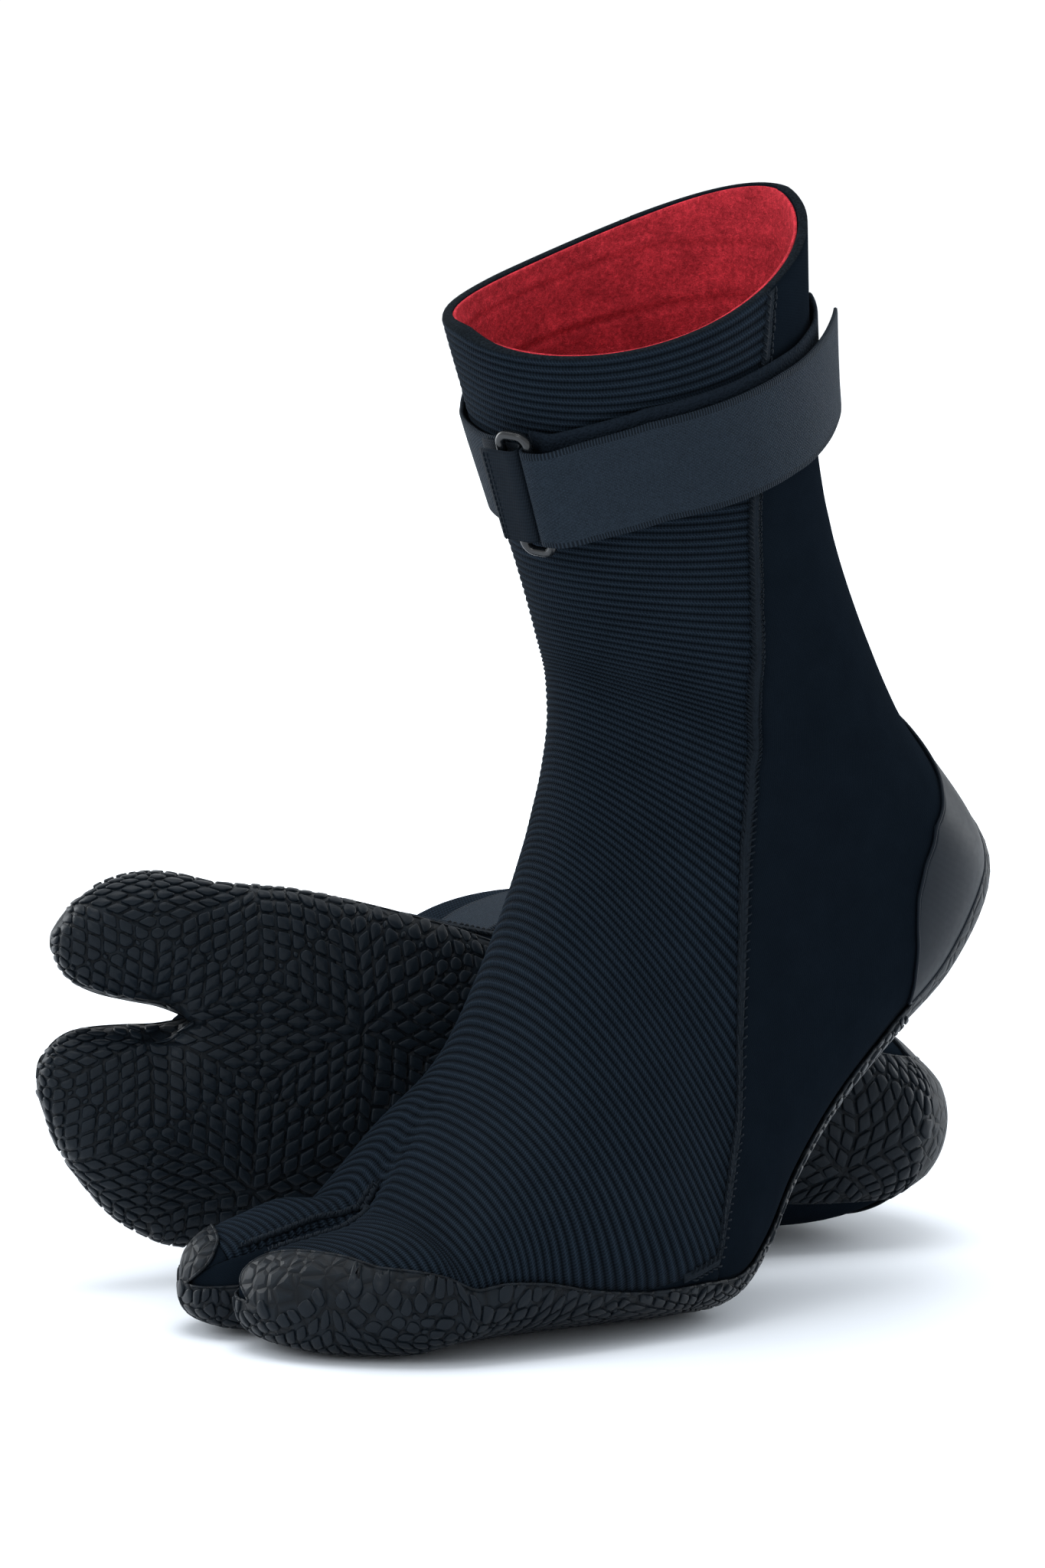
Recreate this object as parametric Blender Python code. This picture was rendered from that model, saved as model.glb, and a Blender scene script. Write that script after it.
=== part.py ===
"""A pair of split-toe neoprene surf boots: the left one stands on its toes, the right one lies on its lateral side behind it.

Each boot is a sock of 2.6 mm neoprene panels with a plush lining, a moulded rubber outsole and heel counter, two raised
seams and an ankle strap that runs through a plastic ring and closes on itself with hook and loop.

The skin of a boot is worked out in its own frame, in mm: q runs back from the toes, y towards the lateral side, z up
from the ground. Sections fan from the crotch between the toes to the cuff; every layer is an offset of that skin.
"""

from math import cos, pi, radians, sin

import bpy
import numpy as np

# ---- driving dimensions, mm -------------------------------------------------
PANEL = 2.6            # neoprene thickness
LINING_OUT, LINING_IN = -2.9, -3.8
GAP = 0.3              # clearance between touching pieces
RUBBER_SIDE, RUBBER_SOLE = 1.5, 3.0
COUNTER = 1.1
STRAP_HALF = 15.0      # half the strap's width
WEB = 1.1              # webbing thickness
RING_WIRE = 1.3        # ring wire radius
RING_BARS = 9.0        # between the ring's two bars
RING_HALF = 18.5       # half the ring's length, wire centre
ORIGIN_SHIFT = (2.88, -179.83, 0.0)   # puts the middle of the pair's footprint on the origin

LEFT_TURN = 31.0       # toes of the left boot towards the viewer, degrees
RIGHT_TURN = 18.0
RIGHT_SLOPE = -8.0
LEFT_AT = (-77.0, 0.0, -0.7)   # the standing sole is pressed this flat on the ground
RIGHT_AT = (-131.0, 76.0, 70.36)

# Body stations: front line q, z; back line q, z; half width lateral, medial; height share of the widest point;
# y of the front line; superellipse exponents above and below the widest point
TIPTOE = np.array([
    [45, 38, 45, 3.5, 52, 50, .40, -11, 2.1, 2.9],
    [62.9, 59.4, 70, 3.5, 53.5, 50.5, .40, -10, 2.1, 2.9],
    [74.6, 72.7, 96, 3.5, 54, 49, .38, -8, 2.05, 2.9],
    [82.4, 90.7, 124, 3.5, 52, 46.5, .36, -6, 2.0, 2.9],
    [88.2, 108.3, 142, 5.5, 48, 43.5, .36, -4, 2.0, 2.8],
    [92.6, 122.8, 153.5, 16, 44.5, 41, .38, -2, 2.0, 2.7],
    [95.8, 134.2, 165, 34, 42, 39, .42, 0, 2.0, 2.6],
    [98.3, 144.6, 182.5, 54, 39.5, 37.5, .46, 0, 2.0, 2.4],
    [100.2, 155.1, 204, 73, 38, 36.5, .48, 0, 2.0, 2.2],
    [101.2, 164.5, 225, 91, 37, 36, .50, 0, 2.0, 2.1],
    [100.4, 175.1, 238.3, 116.1, 37, 36, .52, 0, 2.0, 2.0],
    [97.3, 189.0, 205.4, 168.2, 37.5, 36.5, .52, 0, 2.0, 2.0],
    [91.6, 205.0, 187.4, 204.6, 39, 38, .50, 0, 2.0, 2.0],
    [82.7, 224.2, 177.5, 230.8, 40.5, 39.5, .50, 0, 2.0, 2.0],
    [73.9, 242.2, 171.8, 255.5, 41.5, 40.5, .50, 0, 2.0, 2.0],
    [66.0, 258.1, 167.4, 284.2, 42, 41, .50, 0, 2.0, 2.0],
    [58.7, 273.3, 164.1, 311.6, 42.5, 41.5, .50, 0, 2.0, 2.0],
])
NEUTRAL = np.array([
    [45, 38, 45, 3.5, 52, 49, .34, -11, 2.1, 3.3],
    [64, 47, 70, 3.5, 53, 49.5, .30, -10, 2.1, 3.4],
    [84, 57, 95, 3.5, 53, 48, .27, -8, 2.05, 3.4],
    [104, 68, 120, 3.5, 51, 46, .25, -6, 2.0, 3.4],
    [122, 80, 148, 4.0, 48, 43, .25, -4, 2.0, 3.3],
    [136, 91, 178, 5.0, 43.5, 40, .28, -2, 2.0, 3.1],
    [147, 101, 208, 4.5, 40, 37.5, .34, 0, 2.0, 2.9],
    [156, 111, 238, 3.5, 38, 36.5, .42, 0, 2.0, 2.7],
    [163, 120, 264, 7.0, 37, 36, .46, 0, 2.0, 2.3],
    [168, 129, 277, 22, 36.5, 35.5, .50, 0, 2.0, 2.1],
    [171, 139, 279, 44, 36, 35.5, .52, 0, 2.0, 2.0],
    [172, 155, 268, 96, 35.5, 36, .52, 0, 2.0, 2.0],
    [171, 172, 265, 132, 34.5, 37.5, .50, 0, 2.0, 2.0],
    [169, 188, 266, 158, 34, 39, .50, 0, 2.0, 2.0],
    [166, 205, 268, 184, 34, 40, .50, 0, 2.0, 2.0],
    [163, 222, 271, 211, 35, 41, .50, 0, 2.0, 2.0],
    [160, 239, 274, 238, 36.5, 41.5, .50, 0, 2.0, 2.0],
])
# sideways tilt of each station in degrees, and the shift that comes with it
LEAN = [(0, 0)] * 9 + [(1, 0), (2, .5), (4, 1.5), (7, 3), (10, 6), (13, 9.5), (16, 14), (18, 18)]
STRAIGHT = [(0, 0)] * 17
RIM_DIP = (5.0, 11.0)  # the rim dips between its front and back corners: lateral, medial

# Toe lobes in plan: distance from the crotch; inner edge q, y; outer edge q, y; z of the underside, z of the top
LOBE_B = np.array([
    [9, 35, -7.6, 37, 50.0, 3.5, 35.0],
    [19, 24, -6.2, 28, 45.5, 3.8, 32.0],
    [28, 14, -4.6, 19.5, 38.2, 4.4, 29.6],
    [35, 7.5, -2.4, 12.5, 30.5, 5.3, 27.2],
    [40, 3.6, 1.2, 7.0, 22.6, 7.0, 24.0],
    [43, 1.9, 5.2, 3.6, 16.6, 9.6, 20.6],
])
LOBE_A = np.array([
    [9, 35, -14.4, 35, -50.0, 3.5, 34.5],
    [19, 24, -15.6, 24, -49.5, 3.8, 31.5],
    [28, 14, -17.0, 15, -46.6, 4.4, 29.0],
    [35, 7.2, -19.6, 8.6, -42.2, 5.3, 26.6],
    [40, 3.0, -23.6, 3.8, -37.0, 7.0, 23.6],
    [43, 1.0, -27.6, 1.3, -32.6, 9.6, 20.2],
])
TIP_B, TIP_A = (1.2, 10.5, 15.0), (0.2, -30.2, 14.8)
CORNER = radians(52.0)  # where the walls of the cleft start on a lobe's section

# Edges on the skin, as the share of the way round from the front line to the back line
SEAM = ([3.4, 3.8, 4.4, 5.2, 6, 7, 8, 8.8, 9.4, 10, 10.4, 11, 12, 13.2, 14.4, 15.2, 16],
        [.655, .613, .585, .562, .515, .451, .391, .357, .343, .339, .361, .428, .494, .547, .599, .634, .665])
RAND_FORE = ([0, .35, 1.4, 2.3, 3.4], [.48, .495, .575, .635, .655])
RAND_LOBE = ([0, .25, .54, .68, .8], [.48, .44, .385, .26, .09])
RAND_HIND = ([3.4, 3.9, 4.7, 5.5, 6.6, 7.8, 9, 9.75, 10.4, 16], [.70, .735, .775, .81, .85, .875, .88, .885, .955, .955])
COUNTER_EDGE = ([8.3, 8.6, 9.0, 9.3, 9.7, 10.1, 10.4, 10.7, 10.85], [.868, .80, .74, .71, .70, .715, .79, .89, .945])

ROWS = [0, .8, 1.7, 2.6, 3.4, 4.3, 5.2, 6.2, 7.3, 8.3, 9.0, 9.7, 10.4, 10.85, 11.7, 12.7, 13.8, 14.9, 16]
R_SEAM, R_COUNTER, R_RUBBER, R_TOP = ROWS.index(3.4), ROWS.index(8.3), ROWS.index(10.4), ROWS.index(10.85)
TOE_ROWS = [0, .35, .6, .8, .93, 1.0]
T_PANEL = 3            # the front panel ends at this row of the lobes
A, B, C, N = 4, 6, 7, 10   # columns of the seam, the counter's edge, the rubber's edge and the back line
G_COLS = 2


# ---- interpolation ----------------------------------------------------------
def hermite(s, points, slopes, t):
    s, t = np.asarray(s, float), np.asarray(t, float)
    i = np.clip(np.searchsorted(s, t, side="right") - 1, 0, len(s) - 2)
    h = s[i + 1] - s[i]
    x = (t - s[i]) / h
    shape = (-1,) + (1,) * (points.ndim - 1)
    x, h = x.reshape(shape), h.reshape(shape)
    return ((2 * x**3 - 3 * x**2 + 1) * points[i] + (x**3 - 2 * x**2 + x) * h * slopes[i]
            + (-2 * x**3 + 3 * x**2) * points[i + 1] + (x**3 - x**2) * h * slopes[i + 1])


def slopes_of(s, points):
    s = np.asarray(s, float)
    out = np.zeros_like(points)
    h = np.diff(s)
    d = np.diff(points, axis=0) / h.reshape((-1,) + (1,) * (points.ndim - 1))
    for j in range(1, len(s) - 1):
        out[j] = (d[j - 1] * h[j] + d[j] * h[j - 1]) / (h[j] + h[j - 1])
    out[0] = 1.5 * d[0] - 0.5 * out[1]
    out[-1] = 1.5 * d[-1] - 0.5 * out[-2]
    return out


def shares(points):
    d = np.r_[0, np.cumsum(np.linalg.norm(np.diff(points, axis=0), axis=1))]
    return d / d[-1]


def along(points, share, at):
    return np.stack([np.interp(at, share, points[:, k]) for k in range(3)], 1)


def superellipse(angle, above, below):
    c, s = np.cos(angle), np.sin(angle)
    e = np.where(c > 0, above, below)
    return np.sign(s) * np.abs(s) ** (2 / e), np.sign(c) * np.abs(c) ** (2 / e)


# ---- the skin ---------------------------------------------------------------
def half_section(row, side):
    """From the front point over one flank to the back point."""
    front, back = row[0:2], row[2:4]
    width = row[4] if side > 0 else row[5]
    height = np.linalg.norm(front - back)
    up = (front - back) / height
    x, c = superellipse(np.linspace(0, pi, 721), row[8], row[9])
    widest = row[6] * height
    h = np.where(c > 0, widest + (height - widest) * c, widest + widest * c)
    return np.stack([back[0] + up[0] * h, row[7] + (side * width - row[7]) * x, back[1] + up[1] * h], 1)


def lobe_section(row, start, stop):
    inner, outer = row[1:3], row[3:5]
    x, c = superellipse(np.linspace(start, stop, 721), 2.25, 2.7)
    plan = (inner + outer) / 2 + ((outer - inner) / 2) * x[:, None]
    return np.stack([plan[:, 0], plan[:, 1], (row[5] + row[6]) / 2 + (row[6] - row[5]) / 2 * c], 1)


def station_places(body):
    run = [np.r_[0, np.cumsum(np.linalg.norm(np.diff(body[:, k:k + 2], axis=0), axis=1))] for k in (0, 2)]
    return (run[0] + run[1]) / 2


def skin(body, lean, rows, toe_rows, columns, lobe_columns, gusset_columns):
    """The lateral and medial halves of the body and of the two lobes, and the wall of the cleft, as grids of points.

    columns(s) and lobe_columns(t) give the shares round each half that the grid's columns take in that row.
    """
    place = station_places(body)
    dense = np.linspace(0, 1, 241)
    halves, halves_m, lobes = {}, {}, {}
    for side in (1, -1):
        sections = []
        for j, row in enumerate(body):
            points = half_section(row, side)
            points = along(points, shares(points), dense)
            if j < 2:   # the hollow behind the cleft, above and below
                dip = (5.5, 1.6)[j] * np.exp(-((points[:, 1] - row[7]) / 6.0) ** 2)
                points[:, 2] -= dip * np.clip((points[:, 2] - 18) / 14, 0, 1)
            if j == 0:
                points[:, 2] += 2.0 * np.exp(-((points[:, 1] - row[7]) / 5.0) ** 2) * (points[:, 2] < 14)
            if j >= 14:
                points[:, 2] -= RIM_DIP[side < 0] * np.sin(pi * dense) ** 1.3 * (.25, .6, 1.0)[j - 14]
            tilt, shift = lean[j]
            y = points[:, 1].copy()
            points[:, 2] -= y * sin(radians(tilt))
            points[:, 1] = y * cos(radians(tilt)) + shift
            sections.append(points)
        sections = np.array(sections)
        slopes = slopes_of(place, sections)
        slopes[0] = (sections[1] - sections[0]) / (place[1] - place[0])
        halves[side] = (sections, slopes)
        rows_at = np.interp(rows, np.arange(len(body)), place)
        grid = hermite(place, sections, slopes, rows_at)
        halves_m[side] = np.array([along(g, dense, columns(s)) for g, s in zip(grid, rows)])
        table, tip = (LOBE_B, TIP_B) if side > 0 else (LOBE_A, TIP_A)
        sections = [halves[side][0][0]]
        for row in table:
            points = lobe_section(row, -CORNER, pi + CORNER)
            sections.append(along(points, shares(points), dense))
        sections.append(np.repeat(np.array([tip]), len(dense), 0))
        sections = np.array(sections)
        at = np.r_[0, table[:, 0], 45.0]
        slopes = slopes_of(at, sections)
        slopes[0] = -halves[side][1][0]
        slopes[-1] = (sections[-1] - sections[-2]) / (at[-1] - at[-2])
        grid = hermite(at, sections, slopes, np.asarray(toe_rows) * 45.0)
        lobes[side] = np.array([along(g, dense, lobe_columns(t)) for g, t in zip(grid, toe_rows)])
    g = np.asarray(gusset_columns)

    def walls(table):
        out = []
        for row in table:
            points = lobe_section(row, -CORNER, CORNER - pi)
            out.append(along(points, shares(points), g))
        return np.array(out)

    top, bottom = halves[1][0][0][0], halves[1][0][0][-1]
    crotch = top * (1 - g[:, None]) + bottom * g[:, None]
    crotch[:, 0] -= np.sin(pi * g)
    sections = np.concatenate([np.repeat(np.array([TIP_B]), len(g), 0)[None], walls(LOBE_B)[::-1], crotch[None],
                               walls(LOBE_A), np.repeat(np.array([TIP_A]), len(g), 0)[None]])
    at = np.r_[-45.0, -LOBE_B[::-1, 0], 0, LOBE_A[:, 0], 45.0]
    toe_at = np.asarray(toe_rows) * 45.0
    gusset = hermite(at, sections, slopes_of(at, sections), np.r_[-toe_at[::-1], toe_at[1:]])
    for column, edge in ((0, 0), (-1, -1)):
        line = np.concatenate([lobes[1][::-1, edge], lobes[-1][1:, edge]])
        near = np.clip(1 - g / .5, 0, 1) if column == 0 else np.clip((g - .5) / .5, 0, 1)
        gusset = gusset + (line - gusset[:, column])[:, None] * near[None, :, None] ** 2
    return halves_m, lobes, gusset


def body_columns(s):
    a = np.interp(s, *RAND_FORE) if s < 3.4 else np.interp(s, *SEAM)
    if s < 3.4:
        rest = np.linspace(a, 1, N - A + 1)[1:]
    else:
        c = np.interp(s, *RAND_HIND)
        if 8.3 <= s <= 10.85:
            b = np.interp(s, *COUNTER_EDGE)
        else:
            b = a + (c - a) * (.93 if s < 8.3 else .9)
        rest = np.r_[np.linspace(a, b, B - A + 1)[1:], c, np.linspace(c, 1, N - C + 1)[1:]]
    return np.r_[np.linspace(0, a, A + 1), rest]


def toe_columns(t):
    a = np.interp(t, *RAND_LOBE)
    return np.r_[np.linspace(0, a, A + 1), np.linspace(a, 1, N - A + 1)[1:]]


# ---- meshes -----------------------------------------------------------------
class Sheet:
    """An open surface: points with unit normals, and the faces of each labelled region."""

    def __init__(self):
        self.points, self.faces, self.labels, self.index = [], [], [], {}

    def vertex(self, p):
        key = tuple(np.round(np.asarray(p, float), 3) + 0.0)
        if key not in self.index:
            self.index[key] = len(self.points)
            self.points.append(np.asarray(p, float))
        return self.index[key]

    def grid(self, points, label, flip=False):
        """Faces between the rows of a grid; label(i, j) names each cell's region."""
        ids = [[self.vertex(p) for p in row] for row in points]
        for i in range(len(ids) - 1):
            for j in range(len(ids[0]) - 1):
                face = [ids[i][j], ids[i][j + 1], ids[i + 1][j + 1], ids[i + 1][j]]
                face = [v for k, v in enumerate(face) if v != face[k - 1]]
                if len(set(face)) < 3:
                    continue
                if len(face) == 4:   # the same diagonal in every layer keeps the gaps between them even
                    p = [self.points[v] for v in face]
                    if np.linalg.norm(p[0] - p[2]) <= np.linalg.norm(p[1] - p[3]):
                        parts = [[face[0], face[1], face[2]], [face[0], face[2], face[3]]]
                    else:
                        parts = [[face[0], face[1], face[3]], [face[1], face[2], face[3]]]
                else:
                    parts = [face]
                for part in parts:
                    self.faces.append(part[::-1] if flip else part)
                    self.labels.append(label(i, j))
        return np.array(ids)

    def normals(self):
        points = np.array(self.points)
        out = np.zeros_like(points)
        for face in self.faces:
            p = points[face]
            n = np.cross(p[1] - p[0], p[2] - p[0])
            for k, v in enumerate(face):   # weighted by the corner's angle, so the diagonals don't matter
                a, b = p[(k + 1) % 3] - p[k], p[k - 1] - p[k]
                angle = np.arccos(np.clip(np.dot(a, b) / (np.linalg.norm(a) * np.linalg.norm(b) + 1e-12), -1, 1))
                out[v] += n / (np.linalg.norm(n) + 1e-12) * angle
        out /= np.maximum(np.linalg.norm(out, axis=1), 1e-12)[:, None]
        around = out.copy()      # a little averaging, so offsets don't cross in the crotch
        for face in self.faces:
            for k in range(3):
                around[face[k]] += .05 * out[face[k - 1]]
        return around / np.linalg.norm(around, axis=1)[:, None]


def shell(points, normals, faces, low, high, inset=GAP / 2):
    """A closed plate over some faces of a surface, from offset low to offset high, its edges drawn in by inset."""
    used = sorted({v for f in faces for v in f})
    new = {v: i for i, v in enumerate(used)}
    faces = [[new[v] for v in f] for f in faces]
    p, n = points[used].copy(), normals[used]
    low = np.broadcast_to(low, len(points))[used][:, None]
    high = np.broadcast_to(high, len(points))[used][:, None]
    directed = {}
    for f in faces:
        for k in range(len(f)):
            directed[(f[k], f[(k + 1) % len(f)])] = f
    border = [(a, b) for (a, b) in directed if (b, a) not in directed]
    pull = np.zeros_like(p)
    for a, b in border:
        e = p[b] - p[a]
        for v in (a, b):
            inward = np.cross(n[v], e)
            pull[v] += inward / max(np.linalg.norm(inward), 1e-12)
    length = np.linalg.norm(pull, axis=1)
    edge = length > 1e-6
    # two border edges meet at a vertex: keep the same distance from both
    pull[edge] /= (length[edge] ** 2 / 2)[:, None].clip(.6)
    p = p + pull * inset
    count = len(p)
    solid_points = np.concatenate([p + n * high, p + n * low])
    solid_faces = [list(f) for f in faces] + [[v + count for v in f[::-1]] for f in faces]
    for a, b in border:   # neighbours split a shared wall along the same diagonal, so it stays a plain gap
        if used[a] < used[b]:
            solid_faces += [[b, a, b + count], [a, a + count, b + count]]
        else:
            solid_faces += [[b, a, a + count], [b, a + count, b + count]]
    return solid_points, solid_faces


def ribbon(sections):
    """A closed strip through equal rings of points."""
    n, k = len(sections), len(sections[0])
    points = np.concatenate(sections)
    faces = []
    for i in range(n - 1):
        for j in range(k):
            a, b = i * k + j, i * k + (j + 1) % k
            faces.append([a, b, b + k, a + k])
    faces.append(list(range(k))[::-1])
    faces.append([(n - 1) * k + j for j in range(k)])
    return points, faces


def signed_volume(points, faces):
    total = 0.0
    for f in faces:
        for k in range(1, len(f) - 1):
            total += np.dot(points[f[0]], np.cross(points[f[k]], points[f[k + 1]]))
    return total / 6


def material(name, colour, roughness, bumps=0.0):
    m = bpy.data.materials.new(name)
    m.use_nodes = True
    shader = m.node_tree.nodes["Principled BSDF"]
    shader.inputs["Base Color"].default_value = (*colour, 1)
    shader.inputs["Roughness"].default_value = roughness
    return m


def add(name, points, faces, placed, mat, collection, smooth=True, pivot=None, ground=None):
    world = placed(np.asarray(points, float))
    if ground is not None:   # what would reach below the ground lies flat on it
        world[:, 2] = np.maximum(world[:, 2], ground)
    if signed_volume(world, faces) < 0:
        faces = [list(f)[::-1] for f in faces]
    centre = placed(np.asarray([pivot], float))[0] if pivot is not None else world.mean(axis=0)
    mesh = bpy.data.meshes.new(name)
    mesh.from_pydata([tuple(v) for v in (world - centre) / 1000], [], [tuple(f) for f in faces])
    mesh.materials.append(mat)
    for polygon in mesh.polygons:
        polygon.use_smooth = smooth
    mesh.update()
    obj = bpy.data.objects.new(name, mesh)
    obj.location = centre / 1000
    collection.objects.link(obj)
    return obj


# ---- places in the world ----------------------------------------------------
def standing(p):
    turn = radians(LEFT_TURN)
    q, y, z = p[..., 0], p[..., 1], p[..., 2]
    return np.stack([q * cos(turn) + y * sin(turn) + LEFT_AT[0], q * sin(turn) - y * cos(turn) + LEFT_AT[1],
                     z + LEFT_AT[2]], -1) + np.array(ORIGIN_SHIFT)


def lying(p):
    turn, slope = radians(RIGHT_TURN), radians(RIGHT_SLOPE)
    q, y, z = p[..., 0], p[..., 1], p[..., 2]
    ahead, up = q * cos(slope) + y * sin(slope), q * sin(slope) - y * cos(slope)
    return np.stack([ahead * cos(turn) - z * sin(turn) + RIGHT_AT[0], ahead * sin(turn) + z * cos(turn) + RIGHT_AT[1],
                     up + RIGHT_AT[2]], -1) + np.array(ORIGIN_SHIFT)


# ---- one boot ---------------------------------------------------------------
def boot(prefix, body, lean, placed, mats, collection):
    halves, lobes, gusset = skin(body, lean, ROWS, TOE_ROWS, body_columns, toe_columns,
                                 np.linspace(0, 1, G_COLS + 1))
    sheet = Sheet()

    def body_label(i, j):
        if j < A:
            return "front_panel"
        if i < R_SEAM or (j >= C and i < R_RUBBER):
            return "bottom_panel"
        if R_COUNTER <= i < R_TOP and j >= B and (j < C or i >= R_RUBBER):
            return "rear_panel+heel_counter"
        return "rear_panel"

    def toe_label(i, j):
        return "front_panel" if j < A and i < T_PANEL else "bottom_panel"

    for side in (1, -1):
        sheet.grid(halves[side], body_label, flip=side < 0)
        sheet.grid(lobes[side], toe_label, flip=side > 0)
    middle = len(TOE_ROWS) - 1
    sheet.grid(gusset, lambda i, j: "toe_gusset_upper" if j < G_COLS / 2 else "toe_gusset_lower", flip=True)
    points, normals = np.array(sheet.points), sheet.normals()
    if np.dot(normals[np.argmax(points[:, 0])], (1, 0, 0)) < 0:
        normals = -normals
        sheet.faces = [f[::-1] for f in sheet.faces]

    def pick(*names):
        return [f for f, label in zip(sheet.faces, sheet.labels) if set(label.split("+")) & set(names)]

    out = {}

    def layer(name, faces, low, high, mat, inset=GAP / 2, ground=None):
        p, f = shell(points, normals, faces, low, high, inset)
        out[name] = add(prefix + name, p, f, placed, mats[mat], collection, ground=ground)

    layer("front_panel", pick("front_panel"), -PANEL, 0, "knit")
    layer("rear_panel", pick("rear_panel"), -PANEL, 0, "jersey", inset=.25)
    layer("bottom_panel", pick("bottom_panel"), -PANEL, 0, "jersey")
    layer("toe_gusset", pick("toe_gusset_upper", "toe_gusset_lower"), -PANEL, 0, "jersey")
    layer("lining", sheet.faces, LINING_IN, LINING_OUT, "plush", inset=0)
    # the outsole is thickest where it faces the ground
    thick = np.full(len(points), RUBBER_SIDE)
    for side in (1, -1):
        for i, row in enumerate(halves[side]):
            for j, p in enumerate(row):
                if j > A:
                    share = (j - A) / (N - A)
                    under = np.clip((share - .35) / .3, 0, 1) if i < R_SEAM else np.clip((j - C) / 1.0, 0, 1)
                    thick[sheet.vertex(p)] = RUBBER_SIDE + (RUBBER_SOLE - RUBBER_SIDE) * under
        for i, row in enumerate(lobes[side][:4]):
            for j, p in enumerate(row):
                if j > A:
                    under = np.clip(((j - A) / (N - A) - .35) / .3, 0, 1) * (1, 1, .8, .3)[i]
                    thick[sheet.vertex(p)] = max(thick[sheet.vertex(p)], RUBBER_SIDE + (RUBBER_SOLE - RUBBER_SIDE) * under)
    crotch = halves[1][0][-1]
    clear = GAP * (1 + 1.2 * np.exp(-(np.linalg.norm(points - crotch, axis=1) / 9) ** 2))
    layer("outsole", pick("bottom_panel", "toe_gusset_lower"), clear, GAP + thick, "rubber", inset=0, ground=0.0)
    layer("heel_counter", pick("heel_counter"), GAP, GAP + COUNTER, "smooth_rubber")

    # ---- fine skin for narrow strips
    fine_rows = np.linspace(0, 16, 161)
    fine = np.linspace(0, 1, 101)
    fine_halves, _, _ = skin(body, lean, fine_rows, TOE_ROWS, lambda s: fine, lambda t: fine, [0, 1])
    fine_normals = {}
    for side in (1, -1):
        g = fine_halves[side]
        both = np.concatenate([fine_halves[-side][:, 3:0:-1], g, fine_halves[-side][:, -2:-5:-1]], axis=1)
        du, dv = np.gradient(both, axis=0), np.gradient(both, axis=1)
        n = np.cross(du, dv)[:, 3:-3]
        n /= np.linalg.norm(n, axis=2)[..., None]
        outward = g - (fine_halves[1][:, 50] + fine_halves[-1][:, 50])[:, None] / 2
        if (n * outward).sum() < 0:
            n = -n
        fine_normals[side] = n

    def surface(s, w):
        """Point and normal at station s and signed share w round the boot: positive lateral, negative medial."""
        side = 1 if w >= 0 else -1
        x, y = s * 10, min(abs(w), 1) * 100
        i, j = min(int(x), 159), min(int(y), 99)
        x, y = x - i, y - j
        values = []
        for g in (fine_halves[side], fine_normals[side]):
            values.append(g[i, j] * (1 - x) * (1 - y) + g[i + 1, j] * x * (1 - y) + g[i, j + 1] * (1 - x) * y
                          + g[i + 1, j + 1] * x * y)
        return values[0], values[1] / np.linalg.norm(values[1])

    # ---- the raised seams
    seam_rows = [s for s in ROWS if s > 3.4][:-1] + [15.9]
    seam_rows = [3.75] + seam_rows
    for side, name in ((1, "lateral_seam"), (-1, "medial_seam")):
        rings = []
        for s in seam_rows:
            a = np.interp(s, *SEAM)
            step = np.linalg.norm(surface(s, side * (a + .01))[0] - surface(s, side * (a - .01))[0]) / .02
            half = 1.75 / step
            ring = []
            for share, height in ((-half, GAP), (half, GAP), (half * .8, GAP + .55), (-half * .8, GAP + .55)):
                p, n = surface(s, side * (a + share))
                ring.append(p + n * height)
            rings.append(np.array(ring))
        p, f = ribbon(rings)
        out[name] = add(prefix + name, p, f, placed, mats["thread"], collection)

    # ---- the strap: x runs along it in mm from the ring, towards the lateral side and the back
    shares_round = np.linspace(-1, 1, 401)
    centre_station = np.interp(np.abs(shares_round), [0, .15, .36, .64, 1], [13.59, 13.65, 14.12, 14.33, 14.44])
    line = np.array([surface(s, w)[0] for s, w in zip(centre_station, shares_round)])
    run = np.r_[0, np.cumsum(np.linalg.norm(np.diff(line, axis=0), axis=1))]
    run -= np.interp(.08, shares_round, run)

    frame = {}

    def strap_point(x, v, height):
        p = wrapped_point(x, v, height)
        if frame:   # flat beside the ring
            blend = np.clip((abs(x - RING_BARS / 2) - 6.5) / 7, 0, 1)
            blend = blend * blend * (3 - 2 * blend)
            flat = (frame["origin"] + frame["x"] * (x - RING_BARS / 2) + frame["v"] * v
                    + frame["out"] * (height - frame["bar"]))
            p = p * blend + flat * (1 - blend)
        return p

    def wrapped_point(x, v, height):
        w = np.interp(x, run, shares_round)
        s = np.interp(x, run, centre_station)
        step = np.linalg.norm(surface(min(s + .1, 16), w)[0] - surface(s - .1, w)[0]) / .2
        p, n = surface(s + v / step, w)
        centre, n_centre = surface(s, w)
        return p + n_centre * height

    def band(name, path, mat, half=STRAP_HALF, thickness=WEB, pivot=None):
        """A strip of webbing whose middle surface follows path, points (x, height)."""
        path = np.asarray(path, float)
        tangent = np.gradient(path, axis=0)
        tangent /= np.linalg.norm(tangent, axis=1)[:, None]
        normal = np.stack([-tangent[:, 1], tangent[:, 0]], 1) * thickness / 2
        rings = []
        for c, n in zip(path, normal):
            low, high = c - n, c + n
            rings.append(np.array([strap_point(low[0], -half, low[1]), strap_point(low[0], half, low[1]),
                                   strap_point(high[0], half, high[1]), strap_point(high[0], -half, high[1])]))
        p, f = ribbon(rings)
        out[name] = add(prefix + name, p, f, placed, mats[mat], collection, smooth=False, pivot=pivot)

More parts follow.
